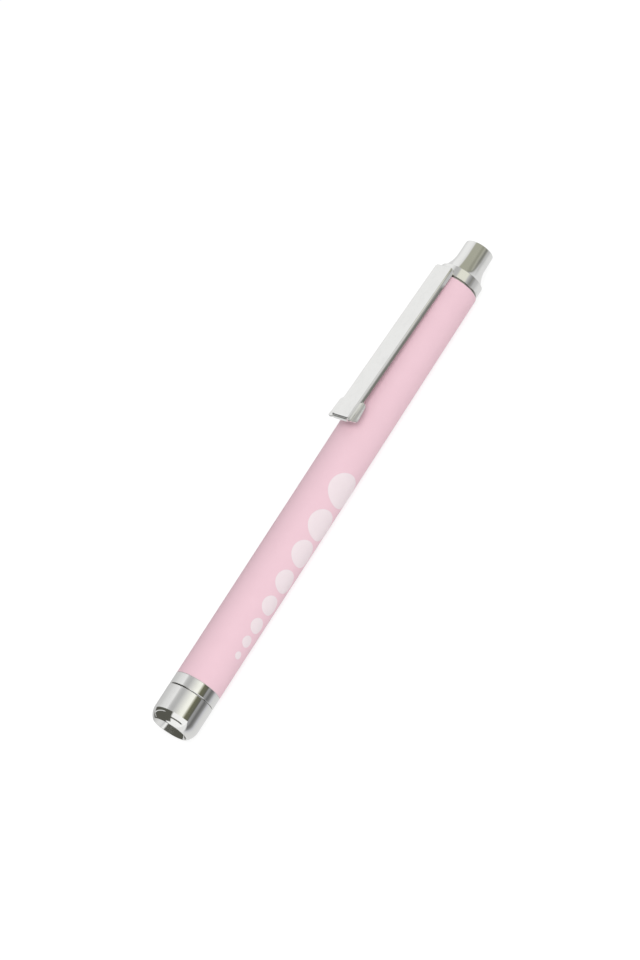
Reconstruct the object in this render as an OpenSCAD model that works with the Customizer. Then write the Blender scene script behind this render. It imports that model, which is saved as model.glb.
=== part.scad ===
// Pocket penlight with a screwed nose, two cells in a slim barrel, a spring clip and a push button.
// Millimetres. The pen lies along X with its lamp at -X, its button at +X and its clip straight up.
// Each piece is drawn standing on the lamp end, with local z along the pen and local x towards the clip.

/* [Cells] */
// Diameter of a cell over its sleeve
cell_d = 10.4; // [9:0.1:14.5]
// Length of a cell over its tip
cell_len = 44.5; // [30:0.5:60]
// Diameter of a cell's tip
nub_d = 3.8; // [2.5:0.1:5]
// Height of a cell's tip
nub_h = 0.9; // [0.5:0.1:2]
// Thickness of a cell's sleeve
sleeve_t = 0.1; // [0.05:0.05:0.3]
// Steel left bare at each end of a cell
sleeve_inset = 0.4; // [0.3:0.1:1.5]

/* [Barrel] */
// Wall of the barrel
barrel_wall = 0.6; // [0.4:0.1:1.5]
// Room around a cell in the barrel
cell_clear = 0.2; // [0.1:0.05:0.5]
// Bevel on the barrel's ends
barrel_bevel = 0.15; // [0.05:0.05:0.3]

/* [Head] */
// Length of the collar's band that shows
band_len = 3.1; // [2:0.1:8]
// Length of the collar's spigot in the barrel
head_spigot_len = 4.5; // [3:0.1:12]
// Wall of the nose around the thread
nose_wall = 0.95; // [0.6:0.05:1.2]
// How much the front rim is smaller than the barrel, in radius
shoulder_drop = 1.3; // [0.8:0.1:2]
// Length of the rounded shoulder
shoulder_len = 3; // [2:0.1:3.4]
// Width of the front rim
rim_w = 0.2; // [0.1:0.05:0.5]
// Depth of the conical mouth
mouth_depth = 4.4; // [3:0.1:8]
// Length of the hole that the lamp stands in
lamp_hole_len = 1; // [0.5:0.1:3]
// Bevel on both sides of the head's seam
seam_bevel = 0.25; // [0.1:0.05:0.4]
// Pitch of the head's thread
thread_pitch = 0.75; // [0.5:0.05:1]
// Turns that free the head
head_turns = 4.5; // [3:0.5:8]
// Depth of the thread
thread_depth = 0.35; // [0.2:0.05:0.45]
// Thread that still holds after those turns
thread_left = 0.325; // [0.1:0.025:1]
// Wall of the collar under the thread
neck_wall = 0.65; // [0.4:0.05:0.8]

/* [Lamp] */
// Diameter of the lamp
lamp_d = 5; // [3:0.1:5.4]
// Length of the lamp
lamp_len = 8.6; // [6:0.1:10]
// How far the lamp's flange stands out
lamp_flange_w = 0.4; // [0.2:0.1:0.6]
// Thickness of the lamp's flange
lamp_flange_h = 1; // [0.5:0.1:1.5]
// Depth of the lamp's tip behind the front rim
lamp_depth = 2.8; // [1:0.1:4]
// Diameter of a lamp's leg
lead_d = 0.5; // [0.3:0.05:0.6]
// Distance between the lamp's legs
lead_spacing = 2.54; // [1.5:0.01:3]
// Length of the short leg before its bend
lead_drop = 2; // [1:0.1:3]
// Thickness of the front contact's head
front_contact_h = 0.6; // [0.3:0.1:1]
// Length of the front contact's plug
front_plug_len = 2; // [1:0.1:3]
// How much the front contact is smaller than its holder, in radius
front_contact_inset = 0.5; // [0.2:0.1:1]

/* [Springs] */
// Length of the battery spring as fitted
battery_spring_len = 7.4; // [6:0.1:12]
// Mean diameter of the battery spring
battery_spring_d = 6.4; // [4:0.1:7]
// Wire of the battery spring
battery_wire_d = 0.6; // [0.3:0.05:0.8]
// Turns of the battery spring
battery_turns = 5; // [3:1:5]
// Length of the return spring as fitted
return_spring_len = 5.7; // [4.5:0.1:9]
// Wire of the return spring
return_wire_d = 0.35; // [0.2:0.05:0.4]
// Turns of the return spring
return_turns = 5; // [3:1:5]

/* [Switch] */
// Travel of the button
press_travel = 1.8; // [1:0.1:2.5]
// Teeth on the rotor and on the plunger
teeth = 8; // [6:1:10]
// Height of a tooth
tooth_h = 0.5; // [0.3:0.1:0.8]
// Thickness of the switch's base
base_h = 1.2; // [0.8:0.1:2]
// Height of the contacts above the base
contact_h = 0.4; // [0.2:0.1:0.8]
// Thickness of the contact sheet
contact_t = 0.3; // [0.2:0.05:0.4]
// Width of the side contact
side_contact_w = 1.6; // [1:0.1:2.2]
// Shank diameter of the spring contact
rivet_d = 1.8; // [1.2:0.1:2.2]
// Diameter of the spring contact's inner head
rivet_head_d = 2.6; // [2.3:0.1:2.8]
// Diameter of the rotor's stem
rotor_stem_d = 3.8; // [2.5:0.1:4.4]
// Thickness of the rotor's shoulder
rotor_shoulder_h = 1; // [0.6:0.1:2]
// Thickness of the hub under the rotor's teeth
rotor_hub_h = 0.5; // [0.3:0.1:1.5]
// Length of the plunger inside the case
plunger_len = 5.4; // [3:0.1:8]
// Diameter of the plunger's stem
plunger_stem_d = 4.7; // [3.5:0.1:5.2]
// Thickness of the lip that keeps the plunger in
lip_h = 1; // [0.6:0.1:2]
// Wall of the switch's case
case_wall = 0.95; // [0.6:0.05:1.1]

/* [Tail] */
// Length of the tail collar's spigot in the barrel
tail_spigot_len = 12; // [8:0.5:12.5]
// Wall of the tail collar's spigot
tail_wall = 0.78; // [0.5:0.02:0.9]
// How much the tail ring is smaller than the barrel, in radius
ring_inset = 0.2; // [0.1:0.05:0.5]
// Wall of the tail ring
ring_wall = 0.3; // [0.2:0.05:0.6]
// Floor under the button in the tail ring
tail_floor = 0.6; // [0.3:0.1:1]
// Depth of the button's skirt in the ring at rest
skirt_in = 0.15; // [0.1:0.05:0.5]
// Bevel on the tail ring
ring_bevel = 0.12; // [0.05:0.01:0.15]
// Length of the button's flare
flare_len = 4.6; // [3:0.1:8]
// Diameter of the button above its flare
flare_top_d = 7.8; // [6.5:0.1:8.6]
// Radius of the flare's hollow curve
flare_curve = 9; // [7:0.1:20]
// Length of the button above its flare
shaft_len = 4.2; // [2:0.1:8]
// How much the button narrows to its top, in radius
shaft_taper = 0.05; // [0:0.01:0.3]
// Bevel on the button's top edge
button_bevel = 0.3; // [0.1:0.05:0.6]
// Length of the plunger's stem in the button
socket_len = 5.3; // [3:0.1:6.5]

/* [Clip] */
// Length of the clip from its hinge to its foot
clip_len = 46.6; // [30:0.1:60]
// Width of the clip
clip_w = 5.5; // [4.5:0.1:7]
// Sheet that the clip is pressed from
sheet_t = 0.5; // [0.3:0.05:0.6]
// Depth of the clip's side walls
side_wall = 1.4; // [1:0.1:1.6]
// Round on the clip's long edges
clip_edge_r = 0.45; // [0.1:0.05:0.5]
// How much higher the clip's foot is than its root
clip_rise = 2.1; // [1.6:0.1:3]
// Length of the flat ears at the clip's foot
ear_len = 6.6; // [5:0.1:9]
// How far an ear stands out from its side wall
ear_w = 2.1; // [1:0.1:2.8]
// How far the ears lie under the clip's face
ear_drop = 1.3; // [0.6:0.1:1.4]
// How far the clip's closed end stands past its hinge
clip_over = 1.5; // [1:0.1:2]
// Depth of the walls that close the clip's ends
end_wall = 1.1; // [0.7:0.1:1.2]
// Diameter of the clip's root bend
root_d = 1.2; // [1:0.1:1.8]
// Room between the clip's root bend and the barrel
root_gap = 0.5; // [0.15:0.05:0.6]

/* [Hidden] */
$fn = 96;

// Clearances: pressed together, running on each other, seated on each other, and loose
fit_clear = 0.02;
run_clear = 0.05;
seat_clear = 0.1;
loose_clear = 0.2;
// Overrun of every cut
over = 1;

// Radii of the barrel and of what fits in it
cell_r = cell_d / 2;
can_r = cell_r - sleeve_t - fit_clear;
cell_bevel = 0.3;
bore_r = cell_r + cell_clear;
barrel_r = bore_r + barrel_wall;
spigot_r = bore_r - fit_clear;

// Radii of the head
rim_r = barrel_r - shoulder_drop;
shoulder_r = (shoulder_len * shoulder_len + shoulder_drop * shoulder_drop) / (2 * shoulder_drop);
mouth_r = rim_r - rim_w;
lamp_r = lamp_d / 2;
lamp_hole_r = lamp_r + loose_clear;
lamp_flange_r = lamp_r + lamp_flange_w;
thread_bore_r = barrel_r - nose_wall;
neck_r = thread_bore_r - run_clear;
neck_root_r = neck_r - thread_depth;
collar_bore_r = neck_root_r - neck_wall;
holder_r = collar_bore_r - seat_clear;
lamp_seat_r = lamp_r + run_clear;
holder_bore_r = lamp_flange_r + run_clear;

// Places along the head, from the front rim
head_travel = thread_pitch * head_turns;
neck_len = head_travel + thread_left;
nose_seat = mouth_depth + lamp_hole_len;
neck_front = nose_seat + loose_clear;
band_front = neck_front + neck_len;
nose_len = band_front - seat_clear;
barrel_front = band_front + band_len;
head_spigot_end = barrel_front + head_spigot_len;
can_front = head_spigot_end + head_travel + loose_clear;
cells_front = can_front - nub_h;
cells_end = cells_front + 2 * cell_len;
holder_front = nose_seat + seat_clear;
holder_end = cells_front - front_contact_h;
plug_front = holder_end - front_plug_len;
lamp_end = lamp_depth + lamp_len;
lamp_flange_front = lamp_end - lamp_flange_h;
lead_bend = lamp_end + lead_drop;

// The thread's ridges, in shares of the pitch
flank_share = 0.35;
crest_share = 0.2;
thread_ridges = floor(neck_len / thread_pitch);

// Places along the switch
rivet_front = cells_end + battery_spring_len;
base_front = rivet_front + contact_t;
base_top = base_front + base_h;
bridge_front = base_top + contact_h + press_travel + run_clear;
bridge_t = contact_t;
bridge_top = bridge_front + bridge_t;
rotor_shoulder = base_top + return_spring_len;
rotor_hub = rotor_shoulder + rotor_shoulder_h;
rotor_teeth = rotor_hub + rotor_hub_h;
plunger_front = rotor_teeth + tooth_h + seat_clear;
plunger_body = plunger_front + tooth_h;
plunger_top = plunger_front + plunger_len;
lip_front = plunger_top + seat_clear;
case_top = lip_front + lip_h;

// Radii of the switch
tail_bore_r = spigot_r - tail_wall;
case_r = tail_bore_r - fit_clear;
case_bore_r = case_r - case_wall;
base_r = bore_r - seat_clear;
return_spring_r = case_bore_r - loose_clear - return_wire_d / 2;
bridge_r = return_spring_r - return_wire_d / 2 - loose_clear;
rotor_r = case_bore_r - loose_clear;
hub_share = 0.94;
crown_outer_share = 0.85;
crown_inner_share = 0.45;
tooth_share = 0.5;
rivet_r = rivet_d / 2;
rivet_head_r = rivet_head_d / 2;
spring_seat_r = battery_spring_d / 2 + battery_wire_d / 2;
plunger_stem_r = plunger_stem_d / 2;

// The side contact runs out in a slot of the base and stands up to the tail collar
pad_inner = rivet_head_r + seat_clear;
pad_outer = bridge_r - seat_clear;
leg_inner = case_r + seat_clear;

// Places along the tail
barrel_end = case_top;
barrel_len = barrel_end - barrel_front;
washer_top = barrel_end + sheet_t;
tail_spigot_front = washer_top - tail_spigot_len;
tail_floor_top = washer_top + tail_floor;
ring_top = tail_floor_top + press_travel + skirt_in + seat_clear + run_clear;
skirt_bottom = ring_top - skirt_in;
flare_top = ring_top + flare_len;
pen_len = flare_top + shaft_len;
stem_top = skirt_bottom + socket_len;

// Radii of the tail
ring_r = barrel_r - ring_inset;
recess_r = ring_r - ring_wall;
skirt_r = recess_r - run_clear;
washer_r = ring_r - seat_clear;
washer_hole_r = spigot_r + fit_clear;
flare_top_r = flare_top_d / 2;
shaft_top_r = flare_top_r - shaft_taper;
socket_r = plunger_stem_r + fit_clear;

// The flare's curve goes through both ends of its chord
flare_chord = norm([skirt_r - flare_top_r, flare_len]);
flare_depth = sqrt(flare_curve * flare_curve - flare_chord * flare_chord / 4);
flare_centre_r = (skirt_r + flare_top_r) / 2 + flare_depth * flare_len / flare_chord;
flare_centre_z = (ring_top + flare_top) / 2 + flare_depth * (skirt_r - flare_top_r) / flare_chord;

// The clip's hinge, its slope, its walls and its ears
root_r = root_d / 2;
hinge_x = barrel_r + root_gap + root_r;
hinge_z = washer_top - root_r;
clip_slope = asin(clip_rise / clip_len);
wall_bottom = root_r - side_wall;
wall_inner_y = clip_w / 2 - sheet_t;
ear_round_share = 0.95;
ear_wide_share = 0.6;
ear_r = ear_w * ear_round_share;
ear_y = clip_w / 2 + ear_w;
tab_w = 2 * wall_inner_y - 2 * run_clear;

// Springs: sides of the wire and rings in a turn
wire_sides = 6;
turn_rings = 8;

// Stands a piece that was drawn along z on its place in the pen
module pen() {
    translate([-pen_len / 2, 0, barrel_r]) rotate([0, -90, 180]) children();
}

// A turned piece from its half outline, in radius and place along the pen
module turned(outline) {
    rotate_extrude() polygon(outline);
}

// A plain tube between two places along the pen
module tube(outer, inner, front, end) {
    turned([[inner, front], [outer, front], [outer, end], [inner, end]]);
}

// A ring of straight teeth
module crown(count, inner, outer, height) {
    width = 360 / count * tooth_share;
    for (i = [0 : count - 1])
        rotate(i * 360 / count)
            linear_extrude(height)
                polygon([
                    [inner, 0], [outer, 0],
                    [outer * cos(width), outer * sin(width)], [inner * cos(width), inner * sin(width)]
                ]);
}

// Centres of the wire of a spring that stands between two seats
function wire_centres(r, len, wire, turns) =
    let (rings = turns * turn_rings, low = wire / 2 + run_clear, climb = len - 2 * low)
    [for (i = [0 : rings])
        let (a = 360 * i / turn_rings)
        [r * cos(a), r * sin(a), low + climb * i / rings]];

// Points of the wire's skin, ring by ring
function wire_skin(centres, wire) =
    [for (i = [0 : len(centres) - 1]) for (j = [0 : wire_sides - 1])
        let (a = 360 * i / turn_rings, t = 360 * j / wire_sides, out = wire / 2 * cos(t))
        centres[i] + [out * cos(a), out * sin(a), wire / 2 * sin(t)]];

// Triangles between the rings, and a fan on each end
function wire_faces(rings) = concat(
    [for (i = [0 : rings - 2]) for (j = [0 : wire_sides - 1])
        let (a = i * wire_sides + j, b = i * wire_sides + (j + 1) % wire_sides)
        [a, a + wire_sides, b]],
    [for (i = [0 : rings - 2]) for (j = [0 : wire_sides - 1])
        let (a = i * wire_sides + j, b = i * wire_sides + (j + 1) % wire_sides)
        [b, a + wire_sides, b + wire_sides]],
    [for (j = [1 : wire_sides - 2]) [0, j, j + 1]],
    [for (j = [1 : wire_sides - 2])
        let (end = (rings - 1) * wire_sides)
        [end, end + j + 1, end + j]]
);

// Least gap between turns of the wire
function wire_gap(centres, wire) =
    min([for (i = [0 : len(centres) - 1 - turn_rings]) for (j = [i + turn_rings / 2 : len(centres) - 1])
        norm(centres[i] - centres[j])]) - wire;

module coil_spring(name, r, len, wire, turns) {
    centres = wire_centres(r, len, wire, turns);
    echo(str(name, " least gap to itself"), wire_gap(centres, wire));
    polyhedron(wire_skin(centres, wire), wire_faces(len(centres)));
}

// Half outline of the nose: a cylinder with a rounded shoulder down to the front rim
module nose_outline() {
    polygon([
        [0, shoulder_len], [barrel_r, shoulder_len], [barrel_r, nose_len - seam_bevel],
        [barrel_r - seam_bevel, nose_len], [0, nose_len]
    ]);
    square([barrel_r - shoulder_r, shoulder_len]);
    intersection() {
        translate([barrel_r - shoulder_r, shoulder_len]) circle(shoulder_r);
        square([barrel_r, shoulder_len]);
    }
}

module nose_cap() {
    color("gainsboro") pen() rotate_extrude() difference() {
        nose_outline();
        polygon([
            [0, -over], [mouth_r, -over], [mouth_r, 0], [lamp_hole_r, mouth_depth],
            [lamp_hole_r, nose_seat], [thread_bore_r, nose_seat],
            [thread_bore_r, nose_len + over], [0, nose_len + over]
        ]);
    }
}

module led_lamp() {
    color("honeydew") pen() {
        translate([0, 0, lamp_depth + lamp_r]) sphere(lamp_r);
        translate([0, 0, lamp_depth + lamp_r]) cylinder(h = lamp_len - lamp_r, r = lamp_r);
        translate([0, 0, lamp_flange_front]) cylinder(h = lamp_flange_h, r = lamp_flange_r);
    }
}

module led_leads() {
    lead_r = lead_d / 2;
    lead_y = lead_spacing / 2;
    reach = collar_bore_r - run_clear - lead_y;
    color("silver") pen() {
        translate([0, lead_y, lamp_end]) cylinder(h = plug_front - lamp_end, r = lead_r);
        translate([0, -lead_y, lamp_end]) cylinder(h = lead_drop, r = lead_r);
        translate([0, -lead_y, lead_bend]) sphere(lead_r);
        translate([0, -lead_y, lead_bend]) rotate([90, 0, 0]) cylinder(h = reach, r = lead_r);
    }
}

module led_holder() {
    slot_w = lead_d + 2 * seat_clear;
    color("white") pen() difference() {
        turned([
            [lamp_seat_r, holder_front], [holder_r, holder_front], [holder_r, holder_end],
            [holder_bore_r, holder_end], [holder_bore_r, lamp_flange_front - run_clear],
            [lamp_seat_r, lamp_flange_front - run_clear]
        ]);
        translate([-slot_w / 2, -holder_r - over, lead_bend - slot_w / 2])
            cube([slot_w, holder_r + over, holder_end - lead_bend + slot_w / 2 + over]);
    }
}

module front_contact() {
    plug_r = holder_bore_r - fit_clear;
    head_r = holder_r - front_contact_inset;
    color("goldenrod") pen() turned([
        [0, plug_front], [plug_r, plug_front], [plug_r, holder_end], [head_r, holder_end],
        [head_r, cells_front], [0, cells_front]
    ]);
}

module head_collar() {
    ridges = [for (i = [0 : thread_ridges - 1])
        let (front = neck_front + i * thread_pitch)
        each [
            [neck_root_r, front], [neck_r, front + flank_share * thread_pitch],
            [neck_r, front + (flank_share + crest_share) * thread_pitch],
            [neck_root_r, front + (2 * flank_share + crest_share) * thread_pitch]
        ]];
    color("gainsboro") pen() turned(concat(
        [[collar_bore_r, neck_front]], ridges,
        [
            [neck_root_r, band_front], [barrel_r - seam_bevel, band_front],
            [barrel_r, band_front + seam_bevel], [barrel_r, barrel_front],
            [spigot_r, barrel_front], [spigot_r, head_spigot_end], [collar_bore_r, head_spigot_end]
        ]
    ));
}

module barrel() {
    color("pink") pen() turned([
        [bore_r, barrel_front], [barrel_r - barrel_bevel, barrel_front],
        [barrel_r, barrel_front + barrel_bevel], [barrel_r, barrel_end - barrel_bevel],
        [barrel_r - barrel_bevel, barrel_end], [bore_r, barrel_end]
    ]);
}

// One cell, from the place of its tip
module cell_can(tip) {
    nub_r = nub_d / 2;
    translate([0, 0, tip]) turned([
        [0, 0], [nub_r, 0], [nub_r, nub_h], [can_r - cell_bevel, nub_h],
        [can_r, nub_h + cell_bevel], [can_r, cell_len - cell_bevel],
        [can_r - cell_bevel, cell_len], [0, cell_len]
    ]);
}

module cell_sleeve(tip) {
    tube(cell_r, can_r + fit_clear, tip + nub_h + sleeve_inset, tip + cell_len - sleeve_inset);
}

module front_cell() {
    color("lightgray") pen() cell_can(cells_front);
}

module front_cell_sleeve() {
    color("steelblue") pen() cell_sleeve(cells_front);
}

module rear_cell() {
    color("lightgray") pen() cell_can(cells_front + cell_len);
}

module rear_cell_sleeve() {
    color("steelblue") pen() cell_sleeve(cells_front + cell_len);
}

module battery_spring() {
    color("slategray") pen() translate([0, 0, cells_end])
        coil_spring("battery spring", battery_spring_d / 2, battery_spring_len, battery_wire_d, battery_turns);
}

module spring_contact() {
    color("goldenrod") pen() turned([
        [0, rivet_front], [spring_seat_r, rivet_front], [spring_seat_r, base_front],
        [rivet_r, base_front], [rivet_r, base_top], [rivet_head_r, base_top],
        [rivet_head_r, base_top + contact_h], [0, base_top + contact_h]
    ]);
}

module side_contact() {
    strip_bottom = base_top - contact_t;
    leg_top = tail_spigot_front - fit_clear;
    color("goldenrod") pen() translate([0, -side_contact_w / 2, strip_bottom]) {
        translate([pad_inner, 0, 0]) cube([leg_inner + contact_t - pad_inner, side_contact_w, contact_t]);
        translate([pad_inner, 0, 0])
            cube([pad_outer - pad_inner, side_contact_w, contact_t + contact_h]);
        translate([leg_inner, 0, 0]) cube([contact_t, side_contact_w, leg_top - strip_bottom]);
    }
}

module switch_base() {
    slot_w = side_contact_w + 2 * fit_clear;
    slot_front = base_top - contact_t - fit_clear;
    color("ivory") pen() difference() {
        tube(base_r, rivet_r + fit_clear, base_front, base_top);
        translate([pad_inner - fit_clear, -slot_w / 2, slot_front])
            cube([base_r + over, slot_w, base_top - slot_front + over]);
    }
}

module switch_case() {
    color("ivory") pen() turned([
        [case_bore_r, base_top], [case_r, base_top], [case_r, case_top],
        [plunger_stem_r + run_clear, case_top], [plunger_stem_r + run_clear, lip_front],
        [case_bore_r, lip_front]
    ]);
}

module contact_bridge() {
    color("goldenrod") pen() translate([0, 0, bridge_front]) cylinder(h = bridge_t, r = bridge_r);
}

module return_spring() {
    color("slategray") pen() translate([0, 0, base_top])
        coil_spring("return spring", return_spring_r, return_spring_len, return_wire_d, return_turns);
}

module ratchet_rotor() {
    hub_r = rotor_r * hub_share;
    crown_r = rotor_r * crown_outer_share;
    color("dimgray") pen() {
        turned([
            [0, bridge_top], [rotor_stem_d / 2, bridge_top], [rotor_stem_d / 2, rotor_shoulder],
            [rotor_r, rotor_shoulder], [rotor_r, rotor_hub], [hub_r, rotor_hub],
            [hub_r, rotor_teeth], [0, rotor_teeth]
        ]);
        translate([0, 0, rotor_hub])
            crown(teeth, rotor_r * crown_inner_share, crown_r, rotor_hub_h + tooth_h);
    }
}

module plunger() {
    crown_r = rotor_r * crown_outer_share;
    color("ivory") pen() {
        turned([
            [0, plunger_body], [rotor_r, plunger_body], [rotor_r, plunger_top],
            [plunger_stem_r, plunger_top], [plunger_stem_r, stem_top], [0, stem_top]
        ]);
        translate([0, 0, plunger_front])
            crown(teeth, rotor_r * crown_inner_share, crown_r, tooth_h + rotor_hub_h);
    }
}

module tail_collar() {
    color("gainsboro") pen() turned([
        [tail_bore_r, tail_spigot_front], [spigot_r, tail_spigot_front], [spigot_r, washer_top],
        [ring_r, washer_top], [ring_r, ring_top - ring_bevel], [ring_r - ring_bevel, ring_top],
        [recess_r, ring_top], [recess_r, tail_floor_top], [tail_bore_r, tail_floor_top]
    ]);
}

module push_button() {
    color("gainsboro") pen() rotate_extrude() difference() {
        polygon([
            [0, skirt_bottom], [skirt_r, skirt_bottom], [skirt_r, ring_top],
            [flare_top_r, flare_top], [shaft_top_r, pen_len - button_bevel],
            [shaft_top_r - button_bevel, pen_len], [0, pen_len]
        ]);
        intersection() {
            translate([flare_centre_r, flare_centre_z]) circle(flare_curve);
            translate([0, ring_top]) square([skirt_r, flare_len]);
        }
        translate([0, skirt_bottom - over]) square([socket_r, socket_len + fit_clear + over]);
    }
}

module clip_ring() {
    color("gainsboro") pen() difference() {
        union() {
            translate([0, 0, barrel_end]) cylinder(h = sheet_t, r = washer_r);
            translate([0, -tab_w / 2, barrel_end]) cube([hinge_x, tab_w, sheet_t]);
        }
        translate([0, 0, barrel_end - over]) cylinder(h = sheet_t + 2 * over, r = washer_hole_r);
        translate([hinge_x, 0, hinge_z]) rotate([90, 0, 0])
            cylinder(h = clip_w, r = root_r + run_clear, center = true);
    }
}

// Outer section of the clip down to a depth, with rounded long edges
module clip_profile(depth) {
    half_w = clip_w / 2;
    translate([root_r - depth, -half_w]) square([depth - clip_edge_r, clip_w]);
    translate([root_r - depth, -half_w + clip_edge_r]) square([depth, clip_w - 2 * clip_edge_r]);
    for (side = [-1, 1])
        translate([root_r - clip_edge_r, side * (half_w - clip_edge_r)]) circle(clip_edge_r);
}

// Section of the clip's channel: a face and two side walls
module clip_section() {
    difference() {
        clip_profile(side_wall);
        translate([wall_bottom - over, -wall_inner_y])
            square([side_wall - sheet_t + over, 2 * wall_inner_y]);
    }
}

// Outline of both ears, which lie flat at the foot of the side walls and run out along them
module ear_outline() {
    for (side = [0, 1]) mirror([side, 0]) {
        polygon([
            [wall_inner_y, 0], [ear_y - ear_r, 0], [ear_y, ear_r], [ear_y, ear_wide_share * ear_len],
            [clip_w / 2, ear_len], [wall_inner_y, ear_len],
        ]);
        translate([ear_y - ear_r, ear_r]) circle(ear_r);
    }
}

module clip_blade() {
    color("gainsboro") pen() translate([hinge_x, 0, hinge_z]) rotate([0, -clip_slope, 0]) {
        rotate([90, 0, 0]) cylinder(h = 2 * wall_inner_y, r = root_r, center = true);
        translate([0, 0, -clip_len]) linear_extrude(clip_len + clip_over) clip_section();
        for (along = [-clip_len, clip_over - sheet_t])
            translate([0, 0, along]) linear_extrude(sheet_t) clip_profile(end_wall);
        translate([root_r - ear_drop - sheet_t, 0, -clip_len]) rotate([90, 0, 90])
            linear_extrude(sheet_t) ear_outline();
    }
}

nose_cap();
led_lamp();
led_leads();
led_holder();
front_contact();
head_collar();
barrel();
front_cell();
front_cell_sleeve();
rear_cell();
rear_cell_sleeve();
battery_spring();
spring_contact();
side_contact();
switch_base();
switch_case();
contact_bridge();
return_spring();
ratchet_rotor();
plunger();
tail_collar();
push_button();
clip_ring();
clip_blade();
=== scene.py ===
"""Looks of a pocket penlight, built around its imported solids.

Pieces are drawn in millimetres along x, from the front rim to the button, with the pen's axis as z = 0.
They are then set in the frame of the solids, in metres, with the pen lying on the floor and its clip up.
"""

import logging
import math
from abc import ABC, abstractmethod
from dataclasses import dataclass
from enum import Enum, IntEnum
from typing import Any, Mapping, Optional, Sequence, Union

import bmesh
import bpy
from mathutils import Matrix, Vector


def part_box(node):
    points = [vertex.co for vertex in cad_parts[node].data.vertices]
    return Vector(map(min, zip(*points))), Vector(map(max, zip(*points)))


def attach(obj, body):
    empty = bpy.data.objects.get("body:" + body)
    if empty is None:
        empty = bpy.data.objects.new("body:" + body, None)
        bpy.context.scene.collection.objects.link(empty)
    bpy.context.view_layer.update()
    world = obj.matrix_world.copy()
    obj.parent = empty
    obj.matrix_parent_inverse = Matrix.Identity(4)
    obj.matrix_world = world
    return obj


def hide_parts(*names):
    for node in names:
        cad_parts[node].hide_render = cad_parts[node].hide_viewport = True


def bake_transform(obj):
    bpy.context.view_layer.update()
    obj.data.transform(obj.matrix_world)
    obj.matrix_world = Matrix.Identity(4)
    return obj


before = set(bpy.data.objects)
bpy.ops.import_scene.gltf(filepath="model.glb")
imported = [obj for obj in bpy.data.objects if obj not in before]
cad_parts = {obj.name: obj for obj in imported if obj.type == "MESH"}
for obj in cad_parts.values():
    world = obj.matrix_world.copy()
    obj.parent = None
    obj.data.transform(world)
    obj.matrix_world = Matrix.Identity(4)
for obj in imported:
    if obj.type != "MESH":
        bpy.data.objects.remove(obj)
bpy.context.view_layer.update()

log = logging.getLogger("penlight")

MM = 0.001
FULL_TURN = 2 * math.pi
# Lengths in the pen's millimetres: its own, and how far apart points may be that count as one place.
PEN_LEN = 143.775
BARREL_R = 6.0
NEAR = 1e-4
SAME = 1e-5
# Edges that turn by more degrees than this stay sharp.
SHARP_ANGLE = 32.0
BEND_STEPS = 4
WIRE_FLATS = 12
WHITE = (1.0, 1.0, 1.0, 1.0)
AXIS = Vector((1.0, 0.0, 0.0))
MIDDLE = Vector((0.0, 0.0, BARREL_R * MM))
INTO_FRAME = Matrix.Scale(MM, 4) @ Matrix.Translation((-PEN_LEN / 2, 0.0, BARREL_R))

Triple = tuple[float, float, float]
Colour = Triple
Point = tuple[float, float]


class Body(Enum):
    """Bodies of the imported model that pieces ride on."""

    BARREL = "barrel"
    LAMP = "lamp_stack"
    HEAD = "head"
    BUTTON = "button"
    CLIP = "clip"


class Slot(Enum):
    """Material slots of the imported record."""

    CHROME = "chrome_plate"
    PAINT = "pink_paint"
    EPOXY = "lamp_epoxy"
    TINNED = "tinned_wire"
    SPRING = "spring_wire"


class Turning(IntEnum):
    """Flats around a turned piece, by its size."""

    LARGE = 160
    SMALL = 96
    FINE = 64
    TINY = 48


class Rounded(Enum):
    """What a rounding works on."""

    EDGES = "EDGES"
    CORNERS = "VERTICES"


class Wire:
    """A shader value that takes part in Python expressions."""

    def __init__(self, graph: "Graph", socket: bpy.types.NodeSocket) -> None:
        """Keep the socket and the graph that its nodes go into."""
        self.graph = graph
        self.socket = socket

    def _math(self, operation: str, left: "Value", right: "Value") -> "Wire":
        """Add one Math node and give its result."""
        return self.graph.add("ShaderNodeMath", {"operation": operation}, {0: left, 1: right})[0]

    def __add__(self, other: "Value") -> "Wire":
        """Sum of two values."""
        return self._math("ADD", self, other)

    def __radd__(self, other: "Value") -> "Wire":
        """Sum with a plain number on the left."""
        return self._math("ADD", other, self)

    def __sub__(self, other: "Value") -> "Wire":
        """Difference of two values."""
        return self._math("SUBTRACT", self, other)

    def __rsub__(self, other: "Value") -> "Wire":
        """Difference with a plain number on the left."""
        return self._math("SUBTRACT", other, self)

    def __mul__(self, other: "Value") -> "Wire":
        """Product of two values."""
        return self._math("MULTIPLY", self, other)

    def __rmul__(self, other: "Value") -> "Wire":
        """Product with a plain number on the left."""
        return self._math("MULTIPLY", other, self)

    def larger(self, other: "Value") -> "Wire":
        """Larger of two values."""
        return self._math("MAXIMUM", self, other)

    def angle_to(self, other: "Value") -> "Wire":
        """Angle of the direction with this value across and the other along."""
        return self._math("ARCTAN2", self, other)


Value = Union[Wire, float]


class Outputs:
    """Output sockets of a node that was just added."""

    def __init__(self, graph: "Graph", node: bpy.types.Node) -> None:
        """Keep the node and its graph."""
        self.graph = graph
        self.node = node

    def __getitem__(self, key: Union[int, str]) -> Wire:
        """Give one output as a value for expressions."""
        return Wire(self.graph, self.node.outputs[key])


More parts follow.
